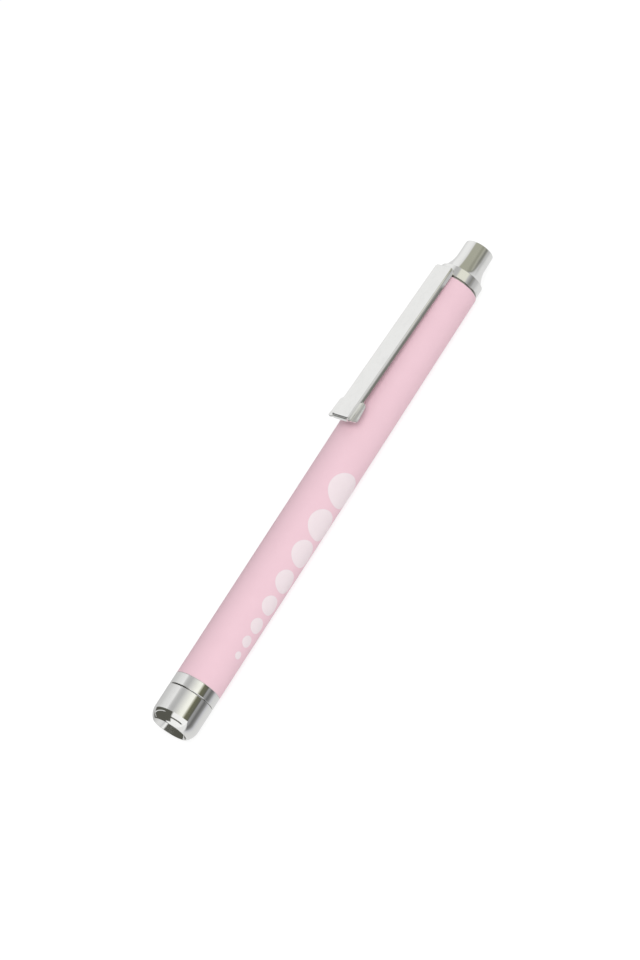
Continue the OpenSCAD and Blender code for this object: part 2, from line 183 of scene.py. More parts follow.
class Graph:
    """A node tree that is filled from empty."""

    def __init__(self, tree: bpy.types.NodeTree) -> None:
        """Take a tree and clear it."""
        self.tree = tree
        self.tree.nodes.clear()

    def add(
        self,
        kind: str,
        settings: Optional[Mapping[str, Any]] = None,
        sockets: Optional[Mapping[Union[int, str], Any]] = None,
    ) -> Outputs:
        """Add a node.

        Args:
            kind: Blender's type name of the node.
            settings: the node's own options, set first; a ramp's is "stops".
            sockets: a value or a Wire for each named or numbered input.

        Returns:
            The node's outputs.
        """
        node = self.tree.nodes.new(kind)
        for key, value in (settings or {}).items():
            if key == "stops":
                self._set_stops(node.color_ramp, value)
            else:
                setattr(node, key, value)
        for key, value in (sockets or {}).items():
            if isinstance(value, Wire):
                self.tree.links.new(value.socket, node.inputs[key])
            else:
                node.inputs[key].default_value = value
        return Outputs(self, node)

    @staticmethod
    def _set_stops(ramp: bpy.types.ColorRamp, stops: Sequence[tuple[float, Colour]]) -> None:
        """Give a ramp its stops.

        Args:
            ramp: the ramp, with the two stops that Blender gives it.
            stops: place and colour of each stop, in rising order.
        """
        while len(ramp.elements) < len(stops):
            ramp.elements.new(1.0)
        for element, (place, colour) in zip(ramp.elements, stops):
            element.position = place
            element.color = (*colour, 1.0)

    def place(self) -> Wire:
        """Object coordinates, which are the frame's own metres."""
        return self.add("ShaderNodeTexCoord")["Object"]

    def parts(self, place: Wire) -> Outputs:
        """The X, Y and Z of a place."""
        return self.add("ShaderNodeSeparateXYZ", sockets={0: place})

    def seen(self) -> Wire:
        """One for what is seen straight, in a mirror or through glass, and zero for other light."""
        rays = self.add("ShaderNodeLightPath")
        return rays["Is Camera Ray"].larger(rays["Is Glossy Ray"]).larger(rays["Is Transmission Ray"])

    def stretch(self, place: Wire, scale: Triple) -> Wire:
        """Coordinates stretched along the three axes."""
        return self.add("ShaderNodeMapping", sockets={"Vector": place, "Scale": scale})[0]

    def noise(self, place: Wire, scale: float, detail: float = 3.0, roughness: float = 0.5) -> Wire:
        """Grey noise of that many cells in a metre."""
        sockets = {"Vector": place, "Scale": scale, "Detail": detail, "Roughness": roughness}
        return self.add("ShaderNodeTexNoise", sockets=sockets)[0]

    def step(self, value: Wire, low: float, high: float) -> Wire:
        """Smooth step from zero at low to one at high."""
        sockets = {"Value": value, "From Min": low, "From Max": high}
        return self.add("ShaderNodeMapRange", {"interpolation_type": "SMOOTHSTEP"}, sockets)[0]

    def mix(self, factor: Value, first: Union[Wire, Colour], second: Union[Wire, Colour]) -> Wire:
        """Blend two colours.

        Args:
            factor: share of the second one.
            first: the colour at zero.
            second: the colour at one.

        Returns:
            The blended colour.
        """
        sides = [c if isinstance(c, Wire) else (*c, 1.0) for c in (first, second)]
        sockets = {0: factor, 6: sides[0], 7: sides[1]}
        return self.add("ShaderNodeMix", {"data_type": "RGBA"}, sockets)[2]

    def bump(self, height: Wire, strength: float, distance: float) -> Wire:
        """Normal of a surface that is raised by a height."""
        sockets = {"Height": height, "Strength": strength, "Distance": distance}
        return self.add("ShaderNodeBump", sockets=sockets)[0]

    def surface(self, **sockets: Any) -> Wire:
        """Principled surface, with its inputs named by words joined with underscores."""
        named = {key.replace("_", " "): value for key, value in sockets.items()}
        return self.add("ShaderNodeBsdfPrincipled", sockets=named)[0]

    def output(self, surface: Wire) -> None:
        """End a material's tree in its surface."""
        self.add("ShaderNodeOutputMaterial", sockets={"Surface": surface})


@dataclass(frozen=True)
class Finish(ABC):
    """How a surface looks.

    Attributes:
        name: name of the material.
    """

    name: str

    def material(self) -> bpy.types.Material:
        """Make the material, or find the one that was made before.

        Returns:
            The material.
        """
        made = bpy.data.materials.get(self.name)
        if made is None:
            made = bpy.data.materials.new(self.name)
            made.use_nodes = True
            self.paint(Graph(made.node_tree))
        return made

    @abstractmethod
    def paint(self, graph: Graph) -> None:
        """Fill the material's tree.

        Args:
            graph: the tree, still empty.
        """


@dataclass(frozen=True)
class ChromePlate(Finish):
    """Bright plate over polished brass, with faint haze from handling and polishing lines; a darkened copy is
    painted shade.

    Attributes:
        tint: colour of clean plate, darkened in the copy that is painted shade.
        dull: colour where it is handled.
        gloss: roughness of clean plate.
        haze: roughness that handling adds.
        lines: cells per metre of the polishing lines, along and across the pen.
        line_haze: roughness that the lines add.
    """

    tint: Colour = (0.90, 0.90, 0.885)
    dull: Colour = (0.87, 0.87, 0.855)
    gloss: float = 0.045
    haze: float = 0.06
    lines: Point = (9000.0, 260.0)
    line_haze: float = 0.03

    def paint(self, graph: Graph) -> None:
        """Fill the material's tree.

        Args:
            graph: the tree, still empty.
        """
        place = graph.place()
        handled = graph.step(graph.noise(place, 260.0, detail=4.0, roughness=0.6), low=0.42, high=0.75)
        along, across = self.lines
        lines = graph.noise(graph.stretch(place, (along, across, across)), 1.0, detail=2.0)
        graph.output(graph.surface(
            Base_Color=graph.mix(handled, self.tint, self.dull),
            Metallic=1.0,
            Roughness=self.gloss + self.haze * handled + self.line_haze * lines,
            Normal=graph.bump(lines, strength=0.02, distance=0.00001),
        ))


@dataclass(frozen=True)
class SatinPaint(Finish):
    """Sprayed satin coat on aluminium, with fine orange peel and bare metal at the cut ends.

    Attributes:
        colour: the coat.
        shade: the coat where it is thinner.
        metal: the tube under it.
        ends: places of the tube's ends in the frame, in metres.
        bare: how far the coat keeps from the ends, in metres.
    """

    colour: Colour = (0.86, 0.595, 0.665)
    shade: Colour = (0.80, 0.545, 0.615)
    metal: Colour = (0.86, 0.83, 0.83)
    ends: Point = (-0.0594875, 0.0598875)
    bare: float = 0.00012

    def paint(self, graph: Graph) -> None:
        """Fill the material's tree.

        Args:
            graph: the tree, still empty.
        """
        place = graph.place()
        along = graph.parts(place)["X"]
        cloud = graph.noise(place, 180.0, detail=4.0)
        peel = graph.noise(place, 2600.0, detail=2.0)
        grain = graph.noise(place, 9000.0, detail=1.0)
        near_front = 1 - graph.step(along, self.ends[0], self.ends[0] + self.bare)
        near_back = graph.step(along, self.ends[1] - self.bare, self.ends[1])
        cut = near_front.larger(near_back)
        coat = graph.mix(0.55 * cloud + 0.25 * grain, self.colour, self.shade)
        graph.output(graph.surface(
            Base_Color=graph.mix(cut, coat, self.metal),
            Metallic=0.85 * cut,
            Roughness=0.46 + 0.10 * cloud + 0.06 * peel - 0.22 * cut,
            Specular_IOR_Level=0.42,
            Coat_Weight=0.06 + 0.06 * cloud,
            Coat_Roughness=0.32,
            Normal=graph.bump(peel + 0.35 * grain, strength=0.10, distance=0.00004),
        ))


@dataclass(frozen=True)
class DotInk(Finish):
    """Screen-printed pale ink, slightly see-through, with a fuller edge.

    Attributes:
        colour: ink where it is full.
        thin: ink where the coat shows through.
    """

    colour: Colour = (0.865, 0.770, 0.795)
    thin: Colour = (0.83, 0.705, 0.74)

    def paint(self, graph: Graph) -> None:
        """Fill the material's tree.

        Args:
            graph: the tree, still empty.
        """
        place = graph.place()
        cloud = graph.noise(place, 700.0, detail=4.0)
        mesh_marks = graph.noise(place, 7000.0, detail=1.0)
        graph.output(graph.surface(
            Base_Color=graph.mix(0.5 * cloud + 0.3 * mesh_marks, self.colour, self.thin),
            Roughness=0.40 + 0.14 * cloud,
            Specular_IOR_Level=0.4,
            Normal=graph.bump(mesh_marks, strength=0.08, distance=0.00003),
        ))


@dataclass(frozen=True)
class ClearEpoxy(Finish):
    """Water-clear casting of the lamp, with faint flow marks.

    Attributes:
        colour: the casting.
        mark: the casting in a flow mark.
    """

    colour: Colour = (0.97, 0.98, 0.97)
    mark: Colour = (0.92, 0.95, 0.95)

    def paint(self, graph: Graph) -> None:
        """Fill the material's tree.

        Args:
            graph: the tree, still empty.
        """
        flow = graph.noise(graph.place(), 900.0, detail=2.0)
        graph.output(graph.surface(
            Base_Color=graph.mix(flow, self.colour, self.mark),
            Roughness=0.02 + 0.05 * flow,
            IOR=1.53,
            Transmission_Weight=1.0,
            Normal=graph.bump(flow, strength=0.05, distance=0.00005),
        ))


@dataclass(frozen=True)
class MouldedPlastic(Finish):
    """Moulded plastic with a fine spark-eroded grain.

    Attributes:
        colour: the plastic.
        worn: the plastic where it is rubbed.
        gloss: roughness of a smooth patch.
    """

    colour: Colour = (0.80, 0.80, 0.78)
    worn: Colour = (0.70, 0.70, 0.68)
    gloss: float = 0.38

    def paint(self, graph: Graph) -> None:
        """Fill the material's tree.

        Args:
            graph: the tree, still empty.
        """
        place = graph.place()
        grain = graph.noise(place, 6000.0, detail=2.0)
        rubbed = graph.step(graph.noise(place, 420.0, detail=4.0), low=0.45, high=0.8)
        graph.output(graph.surface(
            Base_Color=graph.mix(0.7 * rubbed + 0.3 * grain, self.colour, self.worn),
            Roughness=self.gloss + 0.15 * grain - 0.08 * rubbed,
            Normal=graph.bump(grain, strength=0.18, distance=0.00004),
        ))


@dataclass(frozen=True)
class DrawnMetal(Finish):
    """Drawn or stamped metal with draw lines and a patchy film.

    Attributes:
        colour: clean metal.
        film: metal under its film.
        gloss: roughness of clean metal.
        lines: cells per metre of the draw lines along the three axes.
    """

    colour: Colour = (0.72, 0.72, 0.72)
    film: Colour = (0.55, 0.55, 0.55)
    gloss: float = 0.22
    lines: Triple = (400.0, 7000.0, 7000.0)

    def paint(self, graph: Graph) -> None:
        """Fill the material's tree.

        Args:
            graph: the tree, still empty.
        """
        place = graph.place()
        lines = graph.noise(graph.stretch(place, self.lines), 1.0, detail=2.0)
        film = graph.step(graph.noise(place, 500.0, detail=4.0, roughness=0.6), low=0.4, high=0.75)
        graph.output(graph.surface(
            Base_Color=graph.mix(0.8 * film + 0.2 * lines, self.colour, self.film),
            Metallic=1.0 - 0.15 * film,
            Roughness=self.gloss + 0.16 * film + 0.08 * lines,
            Normal=graph.bump(lines, strength=0.10, distance=0.00002),
        ))


@dataclass(frozen=True)
class CellFilm(Finish):
    """Shrunk film of a cell, plain and wrinkled, with one bright band.

    Attributes:
        middle: place of the cell's middle in the frame, in metres.
        band: half the width of the bright band, in metres.
        fade: width of the band's edge, in metres.
        colour: the plain film.
        crest: the plain film where a wrinkle stands up.
        bright: the band.
        wrinkles: cells per metre of the wrinkles along the three axes.
    """

    middle: float = 0.0
    band: float = 0.004
    fade: float = 0.0003
    colour: Colour = (0.045, 0.12, 0.30)
    crest: Colour = (0.065, 0.16, 0.36)
    bright: Colour = (0.62, 0.62, 0.60)
    wrinkles: Triple = (300.0, 1400.0, 1400.0)

    def paint(self, graph: Graph) -> None:
        """Fill the material's tree.

        Args:
            graph: the tree, still empty.
        """
        place = graph.place()
        beside = graph.parts(place)["X"] - self.middle
        away = beside.larger(0 - beside)
        wrinkle = graph.noise(graph.stretch(place, self.wrinkles), 1.0, detail=3.0)
        in_band = 1 - graph.step(away, self.band, self.band + self.fade)
        plain = graph.mix(wrinkle, self.colour, self.crest)
        graph.output(graph.surface(
            Base_Color=graph.mix(in_band, plain, self.bright),
            Roughness=0.18 + 0.14 * wrinkle,
            Coat_Weight=0.35 + 0.2 * in_band,
            Normal=graph.bump(wrinkle, strength=0.10, distance=0.00005),
        ))


@dataclass(frozen=True)
class Phosphor(Finish):
    """Yellow phosphor over the lamp's chip, in fine grains.

    Attributes:
        colour: the deeper grains.
        pale: the paler grains.
    """

    colour: Colour = (0.82, 0.66, 0.12)
    pale: Colour = (0.90, 0.80, 0.32)

    def paint(self, graph: Graph) -> None:
        """Fill the material's tree.

        Args:
            graph: the tree, still empty.
        """
        grains = graph.noise(graph.place(), 14000.0, detail=3.0)
        graph.output(graph.surface(
            Base_Color=graph.mix(grains, self.colour, self.pale),
            Roughness=0.55 + 0.2 * grains,
            Normal=graph.bump(grains, strength=0.4, distance=0.00003),
        ))


CHROME = ChromePlate("bright_chrome")
# Plate darkened as painted shade: the washer and its tab sit in the narrow groove under the tail ring and
# under the clip.
PAINTED_SHADE_PLATE = ChromePlate("washer_plate_painted_shade", (0.42, 0.40, 0.38), (0.34, 0.32, 0.30), 0.16, 0.12)
PINK = SatinPaint("satin_pink_coat")
INK = DotInk("pale_dot_ink")
EPOXY = ClearEpoxy("clear_lamp_epoxy")
PHOSPHOR = Phosphor("chip_phosphor")
WHITE_PLASTIC = MouldedPlastic("white_moulding")
CREAM_PLASTIC = MouldedPlastic("cream_moulding", (0.76, 0.71, 0.60), (0.68, 0.62, 0.50), 0.42)
DARK_PLASTIC = MouldedPlastic("dark_moulding", (0.045, 0.045, 0.05), (0.09, 0.09, 0.095), 0.45)
BRASS = DrawnMetal("contact_brass", (0.83, 0.62, 0.27), (0.58, 0.40, 0.17), 0.24)
TINNED = DrawnMetal("tinned_wire", (0.70, 0.70, 0.69), (0.52, 0.52, 0.51), 0.28)
STEEL_CAN = DrawnMetal("nickelled_can", (0.74, 0.74, 0.72), (0.60, 0.60, 0.58), 0.20)
SPRING_STEEL = DrawnMetal(
    "spring_steel", (0.60, 0.60, 0.62), (0.40, 0.40, 0.41), 0.26, (5000.0, 900.0, 900.0),
)


def soften(
    shape: bmesh.types.BMesh,
    geom: Sequence[Any],
    reach: float,
    segments: int,
    what: Rounded = Rounded.EDGES,
    clamp: bool = False,
) -> None:
    """Round edges or corners of a shape.

    Args:
        shape: the shape.
        geom: its edges, or its vertices where corners are rounded.
        reach: how far back each rounding starts.
        segments: straight pieces of each rounding.
        what: whether edges or corners are rounded.
        clamp: whether roundings stop short of each other.
    """
    bmesh.ops.bevel(
        shape, geom=geom, offset=reach, offset_type="OFFSET", segments=segments, profile=0.5,
        affect=what.value, clamp_overlap=clamp, material=-1,
    )


class Outline:
    """A half outline in the plane of the pen's axis, with x along the pen and z out from the axis."""

    def __init__(self, along: float, radius: float, bend: float = 0.0) -> None:
        """Start at a point.

        Args:
            along: place along the pen.
            radius: distance from the axis.
            bend: how far back from this corner its rounding starts.
        """
        self.mesh = bmesh.new()
        self.bends: list[tuple[bmesh.types.BMVert, float]] = []
        self.tip = self.first = self.mesh.verts.new((along, 0.0, radius))
        self._note(bend)

    def _note(self, bend: float) -> None:
        """Remember that the corner at the tip gets rounded."""
        if bend:
            self.bends.append((self.tip, bend))

    def line(self, along: float, radius: float, bend: float = 0.0) -> "Outline":
        """Go straight to a point.

        Args:
            along: place of the point along the pen.
            radius: its distance from the axis.
            bend: how far back from its corner the rounding starts.

        Returns:
            This outline.
        """
        self.tip = bmesh.ops.extrude_vert_indiv(self.mesh, verts=[self.tip])["verts"][0]
        self.tip.co = (along, 0.0, radius)
        self._note(bend)
        return self

    def arc(self, along: float, radius: float, centre: Point, steps: int) -> "Outline":
        """Go to a point on a circle.

        Args:
            along: place of the arc's end along the pen.
            radius: distance of the arc's end from the axis.
            centre: the circle's centre.
            steps: straight pieces of the arc.

        Returns:
            This outline.
        """
        middle = Vector((centre[0], centre[1]))
        begin = Vector((self.tip.co.x, self.tip.co.z)) - middle
        sweep = begin.angle_signed(Vector((along, radius)) - middle)
        made = bmesh.ops.spin(
            self.mesh, geom=[self.tip], cent=(middle.x, 0.0, middle.y), axis=(0.0, 1.0, 0.0),
            angle=sweep, steps=steps,
        )
        self.tip = next(v for v in made["geom_last"] if isinstance(v, bmesh.types.BMVert))
        return self

    def closed(self) -> "Outline":
        """Join the tip to the first point."""
        self.mesh.edges.new((self.tip, self.first))
        return self

    def turned(self, steps: Turning = Turning.LARGE) -> bmesh.types.BMesh:
        """Round the corners and spin the outline about the pen's axis.

        Args:
            steps: flats around the turning.

        Returns:
            The turned solid.
        """
        for bend in sorted({b for _, b in self.bends}):
            corners = [v for v, b in self.bends if b == bend]
            soften(self.mesh, corners, bend, BEND_STEPS, Rounded.CORNERS)
        bmesh.ops.spin(
            self.mesh, geom=self.mesh.verts[:] + self.mesh.edges[:], cent=(0.0, 0.0, 0.0), axis=AXIS,
            angle=FULL_TURN, steps=steps, use_merge=True,
        )
        bmesh.ops.remove_doubles(self.mesh, verts=self.mesh.verts[:], dist=SAME)
        bmesh.ops.recalc_face_normals(self.mesh, faces=self.mesh.faces[:])
        return self.mesh


def as_object(name: str, shape: bmesh.types.BMesh, finish: Finish) -> bpy.types.Object:
    """Make an object at the origin, with its place in its mesh.

    Args:
        name: name of the object.
        shape: its mesh in the frame's metres, which is freed.
        finish: how it looks.

    Returns:
        The object, linked to the scene.
    """
    mesh = bpy.data.meshes.new(name)
    shape.to_mesh(mesh)
    shape.free()
    mesh.materials.append(finish.material())
    piece = bpy.data.objects.new(name, mesh)
    bpy.context.scene.collection.objects.link(piece)
    return piece


def hand_over(name: str, shape: bmesh.types.BMesh, finish: Finish) -> bpy.types.Object:
    """Set a finished shape in the frame as a piece of the pen.

    Args:
        name: name of the piece.
        shape: its mesh in the pen's millimetres, which is freed.
        finish: how it looks.

    Returns:
        The piece, shaded smooth apart from its sharp edges.
    """
    bmesh.ops.transform(shape, matrix=INTO_FRAME, verts=shape.verts[:])
    piece = as_object(name, shape, finish)
    piece.data.shade_smooth()
    piece.data.set_sharp_from_angle(angle=math.radians(SHARP_ANGLE))
    piece.modifiers.new("even_normals", "WEIGHTED_NORMAL").keep_sharp = True
    log.info("%s: %d faces", name, len(piece.data.polygons))
    return piece


def mount(piece: bpy.types.Object, body: Body, slot: Optional[Slot], *nodes: str) -> None:
    """Make a piece ride on a body and stand for CAD nodes.

    Args:
        piece: the piece.
        body: the body that it moves with.
        slot: the record's slot for it, if any; not used.
        *nodes: CAD nodes that it replaces.
    """
    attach(piece, body.value)
    if nodes:
        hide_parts(*nodes)


def span(
    piece: bpy.types.Object, slot: Slot, node: str, bodies: tuple[Body, Body], start: Point, end: Point
) -> None:
    """Bake a piece's place into its mesh and hide the CAD node that it stands for.

    Args:
        piece: the piece.
        slot: the record's slot for it; not used.
        node: the CAD node that it replaces.
        bodies: the bodies at its start and at its end; not used.
        start: where it leaves the first body, along the pen and up from its axis; not used.
        end: where it has come to the second one; not used.
    """
    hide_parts(node)
    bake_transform(piece)


def joined(*shapes: bmesh.types.BMesh) -> bmesh.types.BMesh:
    """Put several shapes into the first one.

    Args:
        *shapes: the shapes; all but the first are freed.

    Returns:
        The first shape, with the others in it.
    """
    whole = shapes[0]
    for shape in shapes[1:]:
        carrier = bpy.data.meshes.new("carrier")
        shape.to_mesh(carrier)
        shape.free()
        whole.from_mesh(carrier)
        bpy.data.meshes.remove(carrier)
    return whole


def coil(radius: float, wire: float, front: float, end: float, turns: float, steps: int) -> bmesh.types.BMesh:
    """Wind a round wire about the pen's axis.

    Args:
        radius: radius of the wire's centre line.
        wire: diameter of the wire.
        front: place of the first centre along the pen.
        end: place of the last centre along the pen.
        turns: how often it goes round.
        steps: straight pieces in a turn.

    Returns:
        The wound wire, closed at both ends.
    """
    shape = bmesh.new()
    count = round(turns * steps)
    spot = Matrix.Translation((front, 0.0, radius)) @ Matrix.Rotation(math.pi / 2, 4, "X")
    bmesh.ops.create_circle(shape, radius=wire / 2, segments=WIRE_FLATS, matrix=spot)
    bmesh.ops.spin(
        shape, geom=shape.verts[:] + shape.edges[:], cent=(0.0, 0.0, 0.0), axis=AXIS,
        dvec=((end - front) / count, 0.0, 0.0), angle=turns * FULL_TURN, steps=count,
    )
    bmesh.ops.holes_fill(shape, edges=[e for e in shape.edges if e.is_boundary], sides=0)
    bmesh.ops.recalc_face_normals(shape, faces=shape.faces[:])
    return shape


@dataclass
class Head:
    """Screwed nose, the collar that it screws on, and the lamp behind its mouth.

    Attributes:
        thread_sink: how deep the thread's ridge starts under the neck's surface.
        ridge: half the ridge's width at its foot and at its crest, in pitches.
        run_out: how far the thread keeps from both ends of the neck, in pitches.
        cup_gap: how far the cup's lip stands behind the middle of the lamp's dome.
        post_front: where the post behind the cup starts; cup, post and chip are placed from the cup's lip.
    """

    length: float = 9.2
    rim_r: float = 4.7
    mouth_r: float = 4.5
    mouth_depth: float = 4.4
    mouth_edge: float = 0.12
    shoulder_len: float = 3.0
    shoulder_r: float = 4.1115
    shoulder_steps: int = 14
    lamp_hole_r: float = 2.7
    seat: float = 5.4
    thread_bore_r: float = 5.05
    seam: float = 0.12
    fine_edge: float = 0.05
    bore_edge: float = 0.1
    band_front: float = 9.3
    band_end: float = 12.4
    band_edge: float = 0.06
    spigot_end: float = 16.9
    spigot_r: float = 5.38
    spigot_edge: float = 0.2
    neck_front: float = 5.6
    neck_r: float = 5.0
    neck_root_r: float = 4.65
    neck_edge: float = 0.15
    collar_bore_r: float = 4.0
    pitch: float = 0.75
    thread_turns: float = 4.2
    thread_steps: int = 64
    thread_sink: float = 0.05
    ridge: Point = (0.45, 0.1)
    run_out: float = 0.6
    lamp_tip: float = 2.8
    lamp_end: float = 11.4
    lamp_r: float = 2.5
    dome_steps: int = 20
    flange_r: float = 2.9
    flange_front: float = 10.4
    flange_edge: float = 0.15
    cup_gap: float = 1.6
    cup_len: float = 0.8
    cup_r: float = 0.95
    cup_mouth_r: float = 0.75
    cup_lip: float = 0.03
    cup_depth: float = 0.45
    cup_floor_r: float = 0.35
    post_front: float = 1.4
    post_r: float = 0.45
    post_gap: float = 0.2
    chip_top: float = 0.12
    chip_shoulder: float = 0.3
    chip_base: float = 0.4
    chip_r: float = 0.42
    chip_centre: float = 0.7
    chip_steps: int = 6

    def build(self) -> None:
        """Make the nose, the collar and the lamp."""
        self._nose()
        self._collar()
        self._lamp()

    def _nose(self) -> None:
        """Turn the nose: a rim, a rounded shoulder, a seam bevel and a polished cone inside."""
        centre = (self.shoulder_len, BARREL_R - self.shoulder_r)
        shape = (
            Outline(0.0, self.mouth_r, self.fine_edge)
            .line(0.0, self.rim_r, self.fine_edge)
            .arc(self.shoulder_len, BARREL_R, centre, self.shoulder_steps)
            .line(self.length - self.seam, BARREL_R, self.fine_edge)
            .line(self.length, BARREL_R - self.seam, self.fine_edge)
            .line(self.length, self.thread_bore_r)
            .line(self.seat, self.thread_bore_r)
            .line(self.seat, self.lamp_hole_r, self.bore_edge)
            .line(self.mouth_depth, self.lamp_hole_r, self.mouth_edge)
            .closed().turned()
        )
        mount(hand_over("nose", shape, CHROME), Body.HEAD, Slot.CHROME, "nose_cap")

    def _collar(self) -> None:
        """Turn the collar with its band, spigot and screwed neck."""
        shape = (
            Outline(self.neck_front, self.collar_bore_r, self.bore_edge)
            .line(self.neck_front, self.neck_root_r, self.neck_edge)
            .line(self.band_front, self.neck_root_r)
            .line(self.band_front, BARREL_R - self.seam, self.fine_edge)
            .line(self.band_front + self.seam, BARREL_R, self.fine_edge)
            .line(self.band_end, BARREL_R, self.band_edge)
            .line(self.band_end, self.spigot_r)
            .line(self.spigot_end, self.spigot_r, self.spigot_edge)
            .line(self.spigot_end, self.collar_bore_r)
            .closed().turned()
        )
        whole = joined(shape, self._thread())
        mount(hand_over("collar", whole, CHROME), Body.BARREL, Slot.CHROME, "head_collar")

    def _thread(self) -> bmesh.types.BMesh:
        """Wind the thread of the neck.

        Returns:
            One ridge that climbs along the neck, closed at both ends.
        """
        shape = bmesh.new()
        count = round(self.thread_turns * self.thread_steps)
        root, crest = self.neck_root_r - self.thread_sink, self.neck_r
        foot, top = (share * self.pitch for share in self.ridge)
        start = self.neck_front + self.run_out * self.pitch
        end = self.band_front - self.run_out * self.pitch
        corners = [
            shape.verts.new((start + shift, 0.0, radius))
            for shift, radius in ((-foot, root), (-top, crest), (top, crest), (foot, root))
        ]
        flank = shape.faces.new(corners)
        bmesh.ops.spin(
            shape, geom=[flank, *flank.edges, *corners], cent=(0.0, 0.0, 0.0), axis=AXIS,
            dvec=((end - start) / count, 0.0, 0.0), angle=self.thread_turns * FULL_TURN, steps=count,
        )
        bmesh.ops.recalc_face_normals(shape, faces=shape.faces[:])
        return shape

    def _lamp(self) -> None:
        """Turn the lamp's clear casting, with the chip's cup and its phosphor inside."""
        dome = self.lamp_tip + self.lamp_r
        casting = (
            Outline(self.lamp_tip, 0.0)
            .arc(dome, self.lamp_r, (dome, 0.0), self.dome_steps)
            .line(self.flange_front, self.lamp_r)
            .line(self.flange_front, self.flange_r, self.flange_edge)
            .line(self.lamp_end, self.flange_r, self.flange_edge)
            .line(self.lamp_end, 0.0)
            .turned(Turning.SMALL)
        )
        mount(hand_over("lamp_casting", casting, EPOXY), Body.LAMP, Slot.EPOXY, "led_lamp")
        lip = dome + self.cup_gap
        cup = (
            Outline(lip + self.cup_depth, 0.0)
            .line(lip + self.cup_depth, self.cup_floor_r)
            .line(lip, self.cup_mouth_r, self.cup_lip)
            .line(lip, self.cup_r, self.fine_edge)
            .line(lip + self.cup_len, self.cup_r, self.bore_edge)
            .line(lip + self.post_front, self.post_r, self.bore_edge)
            .line(self.lamp_end - self.post_gap, self.post_r)
            .line(self.lamp_end - self.post_gap, 0.0)
            .turned(Turning.FINE)
        )
        mount(hand_over("lamp_cup", cup, TINNED), Body.LAMP, Slot.TINNED)
        drop = (
            Outline(lip + self.chip_top, 0.0)
            .arc(lip + self.chip_shoulder, self.chip_r, (lip + self.chip_centre, 0.0), self.chip_steps)
            .line(lip + self.chip_base, self.chip_r)
            .line(lip + self.chip_base, 0.0)
            .turned(Turning.TINY)
        )
        mount(hand_over("lamp_chip", drop, PHOSPHOR), Body.LAMP, None)


@dataclass
class Tube:
    """Painted barrel with the graded dots printed on its side.

    Attributes:
        ink_t: thickness of the ink at a dot's fuller edge.
        ink_low: share of that thickness inside the edge.
        ink_rim: where the inside ends and the fuller edge starts and ends, from a dot's outline.
        ring_w: widest step between the rings of a dot's mesh.
        dots: place along the pen and diameter of each dot.
        row_turn: how far the row is turned up from the pen's side, in radians.
    """

    front: float = 12.4
    end: float = 131.775
    bore_r: float = 5.4
    edge: float = 0.15
    ink_t: float = 0.02
    ink_low: float = 0.6
    ink_rim: Triple = (0.15, 0.12, 0.05)
    ring_w: float = 0.25
    dots: tuple[Point, ...] = (
        (22.95, 2.0), (26.9, 3.0), (31.45, 4.0), (37.35, 5.0),
        (44.3, 6.0), (52.45, 7.0), (60.9, 8.0), (71.05, 9.0),
    )
    row_turn: float = 0.07

    def build(self) -> None:
        """Make the barrel and its print."""
        outer = BARREL_R - self.ink_t
        shape = (
            Outline(self.front, self.bore_r)
            .line(self.front, outer, self.edge)
            .line(self.end, outer, self.edge)
            .line(self.end, self.bore_r)
            .closed().turned()
        )
        mount(hand_over("barrel_tube", shape, PINK), Body.BARREL, Slot.PAINT, "barrel")
        print_shape = joined(*(self._dot(place, width, outer) for place, width in self.dots))
        mount(hand_over("gauge_dots", print_shape, INK), Body.BARREL, None)

    def _dot(self, place: float, width: float, carrier_r: float) -> bmesh.types.BMesh:
        """Turn a thin dot with a fuller edge and wrap it round the barrel's side.

        Args:
            place: the dot's middle along the pen.
            width: its diameter along the surface.
            carrier_r: radius of the coat that carries it.

        Returns:
            The wrapped dot.
        """
        radius = width / 2
        low, full = self.ink_low * self.ink_t, self.ink_t
        inside, edge_start, edge_end = (radius - inset for inset in self.ink_rim)
        count = math.ceil(radius / self.ring_w)
        rings = [inside * ring / count for ring in range(1, count)]
        flat = Outline(low, 0.0)
        for ring in rings:
            flat.line(low, ring)
        flat.line(full, edge_start).line(full, edge_end).line(-full, radius)
        for ring in reversed(rings):
            flat.line(-full, ring)
        shape = flat.line(-full, 0.0).turned(Turning.SMALL)
        for vert in shape.verts:
            height, across, along = vert.co
            turn = across / carrier_r + self.row_turn
            out = carrier_r + height
            vert.co = (place + along, -out * math.cos(turn), out * math.sin(turn))
        bmesh.ops.recalc_face_normals(shape, faces=shape.faces[:])
        if shape.calc_volume(signed=True) < 0:
            bmesh.ops.reverse_faces(shape, faces=shape.faces[:])
        return shape


